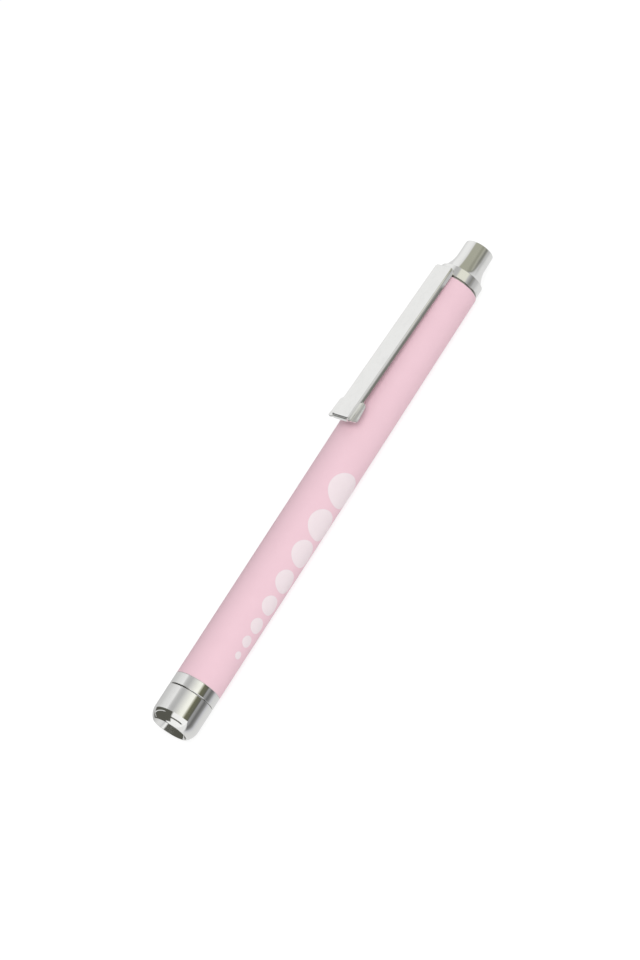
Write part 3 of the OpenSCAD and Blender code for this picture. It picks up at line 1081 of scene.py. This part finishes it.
@dataclass
class Tail:
    """Ring at the tail and the flared button that stands in it.

    Attributes:
        flare_curve: radius of the hollow curve from the button's skirt to its shaft.
    """

    spigot_front: float = 120.275
    bore_r: float = 4.6
    spigot_r: float = 5.38
    spigot_edge: float = 0.2
    ring_front: float = 132.275
    ring_r: float = 5.8
    ring_top: float = 134.975
    ring_edge: float = 0.08
    ring_top_edge: float = 0.12
    recess_r: float = 5.5
    floor: float = 132.875
    skirt: float = 134.825
    skirt_r: float = 5.45
    skirt_edge: float = 0.06
    flare_top: float = 139.575
    flare_top_r: float = 3.9
    flare_curve: float = 9.0
    flare_steps: int = 24
    shaft_r: float = 3.85
    top: float = 143.775
    top_edge: float = 0.35
    socket_r: float = 2.37
    socket_top: float = 140.145

    def build(self) -> None:
        """Make the ring and the button."""
        ring = (
            Outline(self.spigot_front, self.bore_r)
            .line(self.spigot_front, self.spigot_r, self.spigot_edge)
            .line(self.ring_front, self.spigot_r)
            .line(self.ring_front, self.ring_r, self.ring_edge)
            .line(self.ring_top, self.ring_r, self.ring_top_edge)
            .line(self.ring_top, self.recess_r, self.ring_edge)
            .line(self.floor, self.recess_r)
            .line(self.floor, self.bore_r)
            .closed().turned()
        )
        mount(hand_over("tail_ring", ring, CHROME), Body.BARREL, Slot.CHROME, "tail_collar")
        chord = Vector((self.flare_top - self.ring_top, self.flare_top_r - self.skirt_r))
        inward = math.sqrt(self.flare_curve ** 2 - chord.length_squared / 4) / chord.length
        centre = (
            (self.flare_top + self.ring_top) / 2 - chord.y * inward,
            (self.flare_top_r + self.skirt_r) / 2 + chord.x * inward,
        )
        button = (
            Outline(self.skirt, self.socket_r)
            .line(self.skirt, self.skirt_r, self.skirt_edge)
            .line(self.ring_top, self.skirt_r)
            .arc(self.flare_top, self.flare_top_r, centre, self.flare_steps)
            .line(self.top, self.shaft_r, self.top_edge)
            .line(self.top, 0.0)
            .line(self.socket_top, 0.0)
            .line(self.socket_top, self.socket_r)
            .closed().turned()
        )
        mount(hand_over("button_cap", button, CHROME), Body.BUTTON, Slot.CHROME, "push_button")


@dataclass
class Clip:
    """Pocket clip pressed from sheet: a channel with closed ends and two ears, held by a tab and a washer.

    Attributes:
        root: place of the root bend along the pen.
        over: how far the channel reaches past its root.
        rise: how much higher its foot stands than its root.
        rim_angle: edges of the sheet that turn by more than this, in radians, are softened.
        foot_slant: how far the lower edge of the foot's end stands forward.
        ear_w: width of the ear on the dots' side and of the other one.
        ear_inner_w: the same at the ears' inner ends.
        ear_front_r: rounding of the ears' front corners, in the same order.
        weld: points nearer than this become one.
        flat_area: larger faces get an inset, which keeps their shading flat.
        bend_reach: where the clip's bending would start and end, from its root; passed on, but not used.
    """

    root: float = 131.675
    root_height: float = 7.1
    root_r: float = 0.6
    length: float = 46.6
    over: float = 1.5
    rise: float = 2.1
    width: float = 5.5
    sheet: float = 0.42
    rim_r: float = 0.06
    rim_steps: int = 3
    rim_angle: float = 1.0
    wall: float = 1.4
    end_wall: float = 1.1
    tail_corner_r: float = 0.75
    foot_corner_r: float = 0.6
    foot_slant: float = 0.15
    edge_r: float = 0.45
    fold_steps: int = 6
    ear_len: float = 6.2
    ear_w: Point = (2.0, 1.8)
    ear_inner_w: Point = (1.1, 1.6)
    ear_lift: float = 0.2
    ear_front_r: Point = (1.9, 0.9)
    ear_inner_r: float = 0.9
    ear_corner_steps: int = 8
    ear_bend_r: float = 0.25
    weld: float = 0.004
    flat_area: float = 3.0
    flat_inset: float = 0.05
    bend_reach: Point = (0.05, -2.0)
    tab_w: float = 4.4
    tab_bottom: float = 5.2
    washer_front: float = 131.775
    washer_top: float = 132.275
    washer_r: float = 5.55
    washer_hole_r: float = 5.4
    washer_edge: float = 0.03

    def build(self) -> None:
        """Press the channel and set the tab and the washer under it."""
        washer = (
            Outline(self.washer_front, self.washer_hole_r)
            .line(self.washer_front, self.washer_r, self.washer_edge)
            .line(self.washer_top, self.washer_r, self.washer_edge)
            .line(self.washer_top, self.washer_hole_r)
            .closed().turned()
        )
        # The washer and tab take the darkened plate, which is painted shade for the groove that they sit in.
        holder = hand_over("clip_washer", joined(self._tab(), washer), PAINTED_SHADE_PLATE)
        mount(holder, Body.BARREL, Slot.CHROME, "clip_ring")
        piece = hand_over("pocket_clip", self._channel(), CHROME)
        start, end = ((self.root + reach, self.root_height) for reach in self.bend_reach)
        span(piece, Slot.CHROME, "clip_blade", (Body.BARREL, Body.CLIP), start, end)

    def _channel(self) -> bmesh.types.BMesh:
        """Fold one sheet into the channel with its closed ends and its ears.

        Returns:
            The channel with its thickness and softened edges, on its place in the pen.
        """
        shape = bmesh.new()
        foot = self.foot_slant - self.length
        spot = Matrix.Translation(((self.over + foot) / 2, 0.0, self.root_r))
        size = Matrix.Diagonal((self.over - foot, self.width, 1.0, 1.0))
        bmesh.ops.create_grid(shape, x_segments=1, y_segments=1, size=0.5, matrix=spot @ size)
        self._fold_walls(shape)
        for side in (-1.0, 1.0):
            self._fold_ear(shape, side)
        bmesh.ops.recalc_face_normals(shape, faces=shape.faces[:])
        if max(shape.faces, key=lambda f: f.calc_area()).normal.z < 0:
            bmesh.ops.reverse_faces(shape, faces=shape.faces[:])
        bmesh.ops.solidify(shape, geom=shape.faces[:], thickness=self.sheet)
        rims = [e for e in shape.edges if e.is_manifold and e.calc_face_angle(0.0) > self.rim_angle]
        soften(shape, rims, self.rim_r, self.rim_steps, clamp=True)
        bmesh.ops.remove_doubles(shape, verts=shape.verts[:], dist=self.weld)
        bmesh.ops.dissolve_degenerate(shape, dist=self.weld, edges=shape.edges[:])
        flats = [f for f in shape.faces if f.calc_area() > self.flat_area]
        bmesh.ops.inset_individual(shape, faces=flats, thickness=self.flat_inset, use_even_offset=True)
        bmesh.ops.recalc_face_normals(shape, faces=shape.faces[:])
        slope = Matrix.Rotation(math.asin(self.rise / self.length), 3, "Y")
        bmesh.ops.rotate(shape, verts=shape.verts[:], cent=(0.0, 0.0, 0.0), matrix=slope)
        bmesh.ops.translate(shape, verts=shape.verts[:], vec=(self.root, 0.0, self.root_height))
        return shape

    def _fold_walls(self, shape: bmesh.types.BMesh) -> None:
        """Fold walls down from the long edges and from both ends, with rounded bends and corners.

        Args:
            shape: the channel's sheet, still flat.
        """
        made = bmesh.ops.extrude_edge_only(shape, edges=shape.edges[:])["geom"]
        lower = [v for v in made if isinstance(v, bmesh.types.BMVert)]
        bmesh.ops.translate(shape, verts=lower, vec=(0.0, 0.0, -self.wall))
        for radius, end in ((self.tail_corner_r, 1.0), (self.foot_corner_r, -1.0)):
            corners = [
                e for e in shape.edges
                if e.verts[0].co.x * end > 0.0 and abs(e.verts[0].co.z - e.verts[1].co.z) > self.wall / 2
            ]
            soften(shape, corners, radius, self.fold_steps)
        bends = [
            e for e in shape.edges
            if not e.is_boundary and all(v.co.z > self.root_r - NEAR for v in e.verts)
        ]
        soften(shape, bends, self.edge_r, self.fold_steps)
        self._cut(shape, 0.0)
        low = [v for v in shape.verts if v.co.z < self.root_r - self.wall + NEAR]
        foot = [v for v in low if v.co.x < self.foot_slant - self.length + self.foot_corner_r - NEAR]
        raised = foot + [v for v in low if v.co.x > NEAR]
        bmesh.ops.translate(shape, verts=raised, vec=(0.0, 0.0, self.wall - self.end_wall))
        bmesh.ops.translate(shape, verts=foot, vec=(-self.foot_slant, 0.0, 0.0))

    @staticmethod
    def _cut(shape: bmesh.types.BMesh, along: float) -> None:
        """Cut a shape's faces across.

        Args:
            shape: the shape.
            along: place of the cut along the pen.
        """
        bmesh.ops.bisect_plane(
            shape, geom=shape.verts[:] + shape.edges[:] + shape.faces[:], dist=SAME,
            plane_co=(along, 0.0, 0.0), plane_no=AXIS,
        )

    def _fold_ear(self, shape: bmesh.types.BMesh, side: float) -> None:
        """Fold a round-cornered ear out from the foot of a wall.

        Args:
            shape: the channel's sheet.
            side: -1 for the wall on the dots' side, 1 for the other.
        """
        width, inner_width, front_r = (
            sizes[side > 0] for sizes in (self.ear_w, self.ear_inner_w, self.ear_front_r)
        )
        inner = self.ear_len - self.length
        self._cut(shape, inner)
        fold = [
            e for e in shape.edges
            if e.is_boundary
            and all(v.co.x < inner + NEAR and v.co.y * side > self.width / 2 - NEAR for v in e.verts)
        ]
        made = bmesh.ops.extrude_edge_only(shape, edges=fold)["geom"]
        outer = [v for v in made if isinstance(v, bmesh.types.BMVert)]
        bmesh.ops.translate(shape, verts=outer, vec=(0.0, side * width, self.ear_lift))
        tapered = [v for v in outer if v.co.x > inner - NEAR]
        bmesh.ops.translate(shape, verts=tapered, vec=(0.0, side * (inner_width - width), 0.0))
        front = [min(outer, key=lambda v: v.co.x)]
        bmesh.ops.translate(shape, verts=front, vec=(-self.length - front[0].co.x, 0.0, 0.0))
        for corner, radius in ((front, front_r), (tapered, self.ear_inner_r)):
            soften(shape, corner, radius, self.ear_corner_steps, Rounded.CORNERS)
        soften(shape, fold, self.ear_bend_r, BEND_STEPS)

    def _tab(self) -> bmesh.types.BMesh:
        """Stand the tab on the washer, up into the channel.

        Returns:
            The tab with softened edges.
        """
        shape = bmesh.new()
        top = self.root_height + self.root_r - self.sheet
        low = Vector((self.washer_front, -self.tab_w / 2, self.tab_bottom))
        high = Vector((self.washer_top, self.tab_w / 2, top))
        spot = Matrix.Translation((low + high) / 2) @ Matrix.Diagonal((*(high - low), 1.0))
        bmesh.ops.create_cube(shape, size=1.0, matrix=spot)
        soften(shape, shape.edges[:], self.rim_r, self.rim_steps)
        return shape


@dataclass
class Works:
    """Cells, contacts, springs and switch inside the barrel.

    Attributes:
        battery_spring: radius of the winding and diameter of the wire, as for the return spring.
        seat_gap: how far a spring's wire keeps from its seats.
    """

    cells_end: float = 108.575
    battery_spring: Point = (3.2, 0.6)
    battery_len: float = 7.4
    base_top: float = 117.475
    return_spring: Point = (3.255, 0.35)
    return_len: float = 5.7
    turns: float = 5.0
    coil_steps: int = 48
    seat_gap: float = 0.05

    def build(self) -> None:
        """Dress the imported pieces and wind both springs."""
        film = {
            node: CellFilm(f"{node}_film", sum(corner.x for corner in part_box(node)) / 2)
            for node in ("front_cell_sleeve", "rear_cell_sleeve")
        }
        finishes: dict[str, Finish] = {
            "led_leads": TINNED, "led_holder": WHITE_PLASTIC, "front_contact": BRASS,
            "front_cell": STEEL_CAN, "rear_cell": STEEL_CAN, **film,
            "spring_contact": BRASS, "side_contact": BRASS, "contact_bridge": BRASS,
            "switch_base": CREAM_PLASTIC, "switch_case": CREAM_PLASTIC,
            "ratchet_rotor": DARK_PLASTIC, "plunger": CREAM_PLASTIC,
        }
        for node, finish in finishes.items():
            self._dress(node, finish)
        self._wind(
            "battery_coil", "battery_spring", self.battery_spring, self.cells_end, self.battery_len,
            (Body.LAMP, Body.BARREL),
        )
        self._wind(
            "return_coil", "return_spring", self.return_spring, self.base_top, self.return_len,
            (Body.BARREL, Body.BUTTON),
        )

    @staticmethod
    def _dress(node: str, finish: Finish) -> None:
        """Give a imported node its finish.

        Args:
            node: name of the node.
            finish: how it looks.
        """
        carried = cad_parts[node]
        if not carried.material_slots:
            carried.data.materials.append(finish.material())
        for place in carried.material_slots:
            place.material = finish.material()
        log.info("%s: dressed in %s", node, finish.name)

    def _wind(
        self, name: str, node: str, sizes: Point, front: float, length: float, ends: tuple[Body, Body]
    ) -> None:
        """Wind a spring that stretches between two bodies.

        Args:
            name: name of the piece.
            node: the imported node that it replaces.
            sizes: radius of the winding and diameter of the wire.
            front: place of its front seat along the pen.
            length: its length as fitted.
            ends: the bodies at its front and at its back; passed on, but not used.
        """
        radius, wire = sizes
        low = wire / 2 + self.seat_gap
        shape = coil(radius, wire, front + low, front + length - low, self.turns, self.coil_steps)
        piece = hand_over(name, shape, SPRING_STEEL)
        span(piece, Slot.SPRING, node, ends, (front, 0.0), (front + length, 0.0))


@dataclass(frozen=True)
class FloorPaper(Finish):
    """White paper that shows white to the camera and keeps the object's soft shadow.

    Attributes:
        colour: the paper under the lamps.
        fibre: share of its brightness that a fibre keeps.
        glow: share of plain white in what the camera sees.
        white: strength of that white.
    """

    colour: Colour = (0.93, 0.93, 0.93)
    fibre: float = 0.985
    glow: float = 0.62
    white: float = 1.2

    def paint(self, graph: Graph) -> None:
        """Fill the material's tree.

        Args:
            graph: the tree, still empty.
        """
        fibres = graph.noise(graph.place(), 900.0, detail=3.0)
        paper = graph.surface(
            Base_Color=graph.mix(fibres, self.colour, tuple(self.fibre * c for c in self.colour)),
            Roughness=0.85,
            Specular_IOR_Level=0.1,
        )
        white = graph.add("ShaderNodeEmission", sockets={"Color": WHITE, "Strength": self.white})[0]
        sides = {0: self.glow * graph.seen(), 1: paper, 2: white}
        graph.output(graph.add("ShaderNodeMixShader", sockets=sides)[0])


@dataclass(frozen=True)
class Edge:
    """One edge between the panels that the chrome mirrors.

    Attributes:
        place: where it lies across the panels.
        light: how bright they are there.
        warmth: share of blue that is missing there.
    """

    place: float
    light: float
    warmth: float = 0.0

    def stop(self, low: float, high: float) -> tuple[float, Colour]:
        """The edge as a stop of a ramp that runs from low to high."""
        colour = (self.light, self.light, self.light * (1 - self.warmth))
        return (self.place - low) / (high - low), colour


@dataclass(frozen=True)
class Panels(Finish):
    """Glowing panels that the chrome mirrors, in stretches along the pen.

    Attributes:
        span: places across the panels where their ramps start and end.
        stretches: the panel edges of each stretch, from the front to the tail.
        joins: places along the pen where one stretch fades to the next, in metres.
    """

    span: Point
    stretches: tuple[tuple[Edge, ...], ...]
    joins: tuple[Point, ...]

    @abstractmethod
    def across(self, parts: Outputs) -> Wire:
        """Place across the panels."""

    def paint(self, graph: Graph) -> None:
        """Fill the material's tree.

        Args:
            graph: the tree, still empty.
        """
        parts = graph.parts(graph.place())
        low, high = self.span
        share = (self.across(parts) - low) * (1 / (high - low))
        ramps = []
        for stretch in self.stretches:
            stops = [edge.stop(low, high) for edge in stretch]
            ramps.append(graph.add("ShaderNodeValToRGB", {"stops": stops}, {0: share})[0])
        light = ramps[0]
        for join, ramp in zip(self.joins, ramps[1:]):
            light = graph.mix(graph.step(parts["X"], *join), light, ramp)
        graph.output(graph.add("ShaderNodeEmission", sockets={"Color": light, "Strength": 1.0})[0])


@dataclass(frozen=True)
class TentCloth(Panels):
    """Cloth of the light tent, with panels by their angle from overhead towards the camera's side.

    Attributes:
        facing: the angle that the panels are drawn together about.
        gather: how much narrower they get in a metre.
        gather_from: where along the pen that starts, in metres.
    """

    facing: float = 43.0
    gather: float = 1.5
    gather_from: float = 0.126

    def across(self, parts: Outputs) -> Wire:
        """Angle from overhead, drawn together towards the far tail, which the button's flare spreads.

        Args:
            parts: X, Y and Z of a place on the cloth.

        Returns:
            The angle in degrees.
        """
        angle = (0 - parts["Y"]).angle_to(parts["Z"] - BARREL_R * MM) * (360 / FULL_TURN)
        spread = 1 - self.gather * (parts["X"] - self.gather_from).larger(0.0)
        return self.facing + (angle - self.facing) * spread


@dataclass(frozen=True)
class MirroredFloor(Panels):
    """Floor as the chrome mirrors it, with panels by their place across the pen.

    Attributes:
        skew: how far the panels turn from the pen, as the clip's slope makes its wall mirror them.
    """

    skew: float = 0.039

    def across(self, parts: Outputs) -> Wire:
        """Place in millimetres."""
        return (parts["Y"] - self.skew * parts["X"]) * (1 / MM)


def edges(*rows: tuple[float, ...]) -> tuple[Edge, ...]:
    """Panel edges from rows of place, light and, where it counts, warmth."""
    return tuple(Edge(*row) for row in rows)


HORIZON = ((-100.0, 0.75), (-92.0, 0.75))
DARK = (0.10, 0.15)
FAR_CLOTH = ((-100.0, 0.74), (-60.0, 0.90), (-30.0, 0.90), (-14.0, 0.74), (-7.0, 0.50))
CLIP_SIDE = ((-80.0, 0.56), (-18.4, 0.56), (-17.9, 0.20, 0.1), (-12.0, 0.20, 0.1), (-8.0, 0.80))
SHOULDER = edges(*HORIZON, (-84.0, *DARK), (10.0, *DARK), (18.0, 0.95), (100.0, 1.0))
TENT_END = edges(*HORIZON, (-84.0, 0.05), (-40.0, 0.05), (-25.0, 0.95), (100.0, 0.95))
MOUTH_MIDDLE = edges(
    (-100.0, 0.04), (-92.0, 0.04), (-84.0, *DARK), (74.0, *DARK), (84.0, 0.95), (100.0, 0.95),
)
MOUTH_SIDES = edges(
    (-100.0, 0.80), (-28.0, 0.75), (-18.0, *DARK), (10.0, *DARK), (18.0, 0.95), (100.0, 0.95),
)
NOSE = edges(
    (-100.0, 0.62), (-75.0, 0.64), (-52.0, 0.76), (-24.0, 0.86), (-15.0, 0.58), (-6.0, 0.50), (5.0, 0.50),
    (22.0, 0.71, 0.03), (34.0, 0.85, 0.06), (44.0, 0.97, 0.07), (56.0, 1.0, 0.08), (61.0, 0.60, 0.16),
    (68.0, 0.16, 0.35), (88.0, 0.12, 0.2), (93.0, 0.36, -0.04), (100.0, 0.36, -0.04),
)
CLIP_FOOT = edges(
    (-100.0, 0.03), (-10.0, 0.03), (10.0, 0.50, 0.04), (62.0, 0.50, 0.04), (67.0, 0.10, 0.1),
    (100.0, 0.10, 0.1),
)
CLIP_FACE = edges(
    *FAR_CLOTH, (8.0, 0.50), (16.0, 0.84, 0.03), (42.0, 0.84, 0.03), (47.0, 0.50, 0.02), (60.0, 0.50, 0.02),
    (64.0, 0.80), (100.0, 0.60),
)
TAIL_RING = edges(
    *FAR_CLOTH, (14.0, 0.50), (23.0, 0.80, 0.12), (62.0, 0.80, 0.12), (72.0, 0.49), (81.0, 0.33),
    (92.0, 0.23), (100.0, 0.23),
)
BUTTON = edges(
    (-100.0, 0.76), (-60.0, 0.90), (-30.0, 0.88), (-12.0, 0.76), (-3.0, 0.41, 0.18), (43.0, 0.41, 0.18),
    (53.0, 0.33, 0.18), (62.0, 0.32, 0.18), (72.0, 0.42, 0.15), (81.0, 0.33, 0.13), (92.0, 0.17),
    (100.0, 0.17),
)
TENT = TentCloth(
    "tent_cloth", (-180.0, 180.0),
    (
        TENT_END, SHOULDER, MOUTH_MIDDLE, SHOULDER, MOUTH_SIDES, SHOULDER, NOSE, CLIP_FOOT, CLIP_FACE,
        TAIL_RING, BUTTON,
    ),
    (
        (-0.340, -0.335), (-0.184, -0.180), (-0.152, -0.148), (-0.106, -0.103), (-0.096, -0.093),
        (-0.062, -0.055), (-0.023, -0.018), (0.0645, 0.0665), (0.098, 0.104), (0.1215, 0.1235),
    ),
)
FLOOR_AT_FRONT = edges((-100.0, 0.85), (-2.0, 0.85), (2.0, *DARK), (100.0, *DARK))
FLOOR_AT_NOSE = edges(
    (-80.0, 0.33, -0.04), (-36.6, 0.30), (-21.6, 0.165), (-16.6, 0.17), (-12.0, 0.265), (-8.4, 0.58, -0.06),
    (-5.9, 0.70), (2.4, 0.78), (10.4, 0.50), (42.4, 0.60),
)
FLOOR_AT_FOOT = edges(*CLIP_SIDE, (4.0, 0.80), (8.0, 0.04), (40.0, 0.04))
FLOOR_AT_CLIP = edges(*CLIP_SIDE, (0.0, 0.80), (40.0, 0.74))
FLOOR_AT_RING = edges(
    (-80.0, 0.26), (-36.7, 0.34), (-24.7, 0.50), (-16.7, 0.54), (-11.0, 0.74), (-2.7, 0.78), (40.0, 0.74),
)
FLOOR_AT_TAIL = edges(
    (-80.0, 0.28, 0.1), (-42.0, 0.32, 0.1), (-25.0, 0.57), (-17.6, 0.66), (-11.0, 0.70), (40.0, 0.74),
)
MIRRORED_FLOOR = MirroredFloor(
    "mirrored_floor", (-100.0, 100.0),
    (FLOOR_AT_FRONT, FLOOR_AT_NOSE, FLOOR_AT_FOOT, FLOOR_AT_CLIP, FLOOR_AT_RING, FLOOR_AT_TAIL),
    ((-0.084, -0.078), (-0.02, -0.01), (-0.0080, -0.0073), (0.0612, 0.0632), (0.078, 0.084)),
)


@dataclass
class Studio:
    """White floor, light tent, lamp and camera.

    Attributes:
        tent_arc: angles from overhead where the tent meets the floor, in degrees.
        card_height: how far the floor that only chrome sees lies above the other.
        ambient: strength of the light from all around.
        key_turn: how far the lamp stands right of and above the camera, as shares of its distance.
        lean: how far the pen leans over in the picture, in degrees.
        tilt: how far its tail points away from the camera, in degrees.
        roll: how far the clip is rolled to the left, in degrees.
        pixels_per_metre: scale of the picture at the pen's middle.
        distance: from the camera to the pen's middle.
        sight: how far the camera sees.
    """

    floor_size: float = 6.0
    tent_r: float = 0.15
    tent_ends: Point = (-0.35, 0.60)
    tent_arc: Point = (-100.0, 100.0)
    tent_steps: int = 96
    card_height: float = 0.0004
    ambient: float = 0.58
    key_power: float = 3.2
    key_size: float = 0.6
    key_distance: float = 0.8
    key_turn: Point = (-0.05, 0.25)
    lean: float = 32.9
    tilt: float = 16.5
    roll: float = 43.0
    pixels_per_metre: float = 4140.0
    distance: float = 0.85
    middle_pixel: Point = (328.6, 483.7)
    picture: Point = (640.0, 960.0)
    sensor: float = 36.0
    sight: float = 20.0

    def build(self) -> None:
        """Set the stage."""
        self._floor()
        self._tent()
        self._world()
        axes = self._axes()
        self._camera(axes)
        self._key(axes)

    @staticmethod
    def _set(name: str, shape: bmesh.types.BMesh, finish: Finish, mirrored_only: bool) -> None:
        """Set a stage piece.

        Args:
            name: name of the piece.
            shape: its mesh in metres, which is freed.
            finish: how it looks.
            mirrored_only: whether only the chrome may see it.
        """
        piece = as_object(name, shape, finish)
        if mirrored_only:
            for ray in ("camera", "diffuse", "transmission", "volume_scatter", "shadow"):
                setattr(piece, f"visible_{ray}", False)

    def _floor(self) -> None:
        """Lay the floor under the pen."""
        shape = bmesh.new()
        bmesh.ops.create_grid(shape, x_segments=1, y_segments=1, size=self.floor_size / 2)
        self._set("floor", shape, FloorPaper("floor_paper"), False)

    def _tent(self) -> None:
        """Bend the tent round the pen's axis, cap both ends, and lay the floor that only chrome sees."""
        shape = bmesh.new()
        height = BARREL_R * MM
        start, end = (math.radians(angle) for angle in self.tent_arc)
        verts = [shape.verts.new((place, 0.0, height + self.tent_r)) for place in self.tent_ends]
        edge = shape.edges.new(verts)
        bmesh.ops.rotate(shape, verts=verts, cent=(0.0, 0.0, height), matrix=Matrix.Rotation(start, 3, "X"))
        bmesh.ops.spin(
            shape, geom=[edge, *verts], cent=(0.0, 0.0, height), axis=AXIS, angle=end - start,
            steps=self.tent_steps,
        )
        for place in self.tent_ends:
            spot = Matrix.Translation((place, 0.0, height)) @ Matrix.Rotation(math.pi / 2, 4, "Y")
            bmesh.ops.create_circle(
                shape, cap_ends=True, segments=self.tent_steps, radius=self.tent_r, matrix=spot,
            )
        self._set("light_tent", shape, TENT, True)
        card = bmesh.new()
        spot = Matrix.Translation((0.0, 0.0, self.card_height))
        bmesh.ops.create_grid(card, x_segments=1, y_segments=1, size=max(self.tent_ends), matrix=spot)
        self._set("floor_card", card, MIRRORED_FLOOR, True)

    def _world(self) -> None:
        """White surroundings: plain white to the camera and to the chrome, softer as light."""
        world = bpy.data.worlds.new("white_room")
        world.use_nodes = True
        graph = Graph(world.node_tree)
        light, shown = (
            graph.add("ShaderNodeBackground", sockets={"Color": WHITE, "Strength": strength})[0]
            for strength in (self.ambient, 1.0)
        )
        both = graph.add("ShaderNodeMixShader", sockets={0: graph.seen(), 1: light, 2: shown})[0]
        graph.add("ShaderNodeOutputWorld", sockets={"Surface": both})
        bpy.context.scene.world = world

    def _axes(self) -> Matrix:
        """Camera axes in the frame, from how the pen lies in the picture.

        Returns:
            A turn whose columns point right, up and back from the camera.
        """
        lean, tilt, roll = (math.radians(a) for a in (self.lean, self.tilt, self.roll))
        pen = Vector((math.sin(lean) * math.cos(tilt), math.cos(lean) * math.cos(tilt), -math.sin(tilt)))
        facing = (Vector((0.0, 0.0, 1.0)) + math.sin(tilt) * pen).normalized()
        left = Vector((-math.cos(lean), math.sin(lean), 0.0))
        clip = math.cos(roll) * facing + math.sin(roll) * left
        return Matrix((pen, clip.cross(pen), clip))

    def _camera(self, axes: Matrix) -> None:
        """Set the camera at the picture's angle.

        Args:
            axes: the camera's axes.
        """
        right, up, back = axes.col
        shift_x = (self.picture[0] / 2 - self.middle_pixel[0]) / self.pixels_per_metre
        shift_y = (self.middle_pixel[1] - self.picture[1] / 2) / self.pixels_per_metre
        camera = bpy.data.cameras.new("picture")
        camera.sensor_width = self.sensor
        camera.lens = self.pixels_per_metre * self.distance * self.sensor / max(self.picture)
        camera.clip_end = self.sight
        seat = bpy.data.objects.new("picture", camera)
        spot = MIDDLE + back * self.distance + right * shift_x + up * shift_y
        seat.matrix_world = Matrix.Translation(spot) @ axes.to_4x4()
        bpy.context.scene.collection.objects.link(seat)
        bpy.context.scene.camera = seat

    def _key(self, axes: Matrix) -> None:
        """Set a wide soft lamp beside the camera.

        Args:
            axes: the camera's axes.
        """
        right, up, back = axes.col
        lamp = bpy.data.lights.new("soft_key", "AREA")
        lamp.shape = "DISK"
        lamp.size = self.key_size
        lamp.energy = self.key_power
        key = bpy.data.objects.new("soft_key", lamp)
        toward = (back + right * self.key_turn[0] + up * self.key_turn[1]).normalized()
        turn = toward.to_track_quat("Z", "Y").to_matrix().to_4x4()
        key.matrix_world = Matrix.Translation(MIDDLE + toward * self.key_distance) @ turn
        key.visible_camera = False
        key.visible_glossy = False
        bpy.context.scene.collection.objects.link(key)


def main() -> None:
    """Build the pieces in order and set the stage."""
    logging.basicConfig(level=logging.INFO, format="%(name)s: %(message)s")
    for assembly in (Head(), Tube(), Tail(), Clip(), Works(), Studio()):
        log.info("building %s", type(assembly).__name__)
        assembly.build()
    bpy.context.scene.view_settings.view_transform = "Standard"


if __name__ == "__main__":
    main()
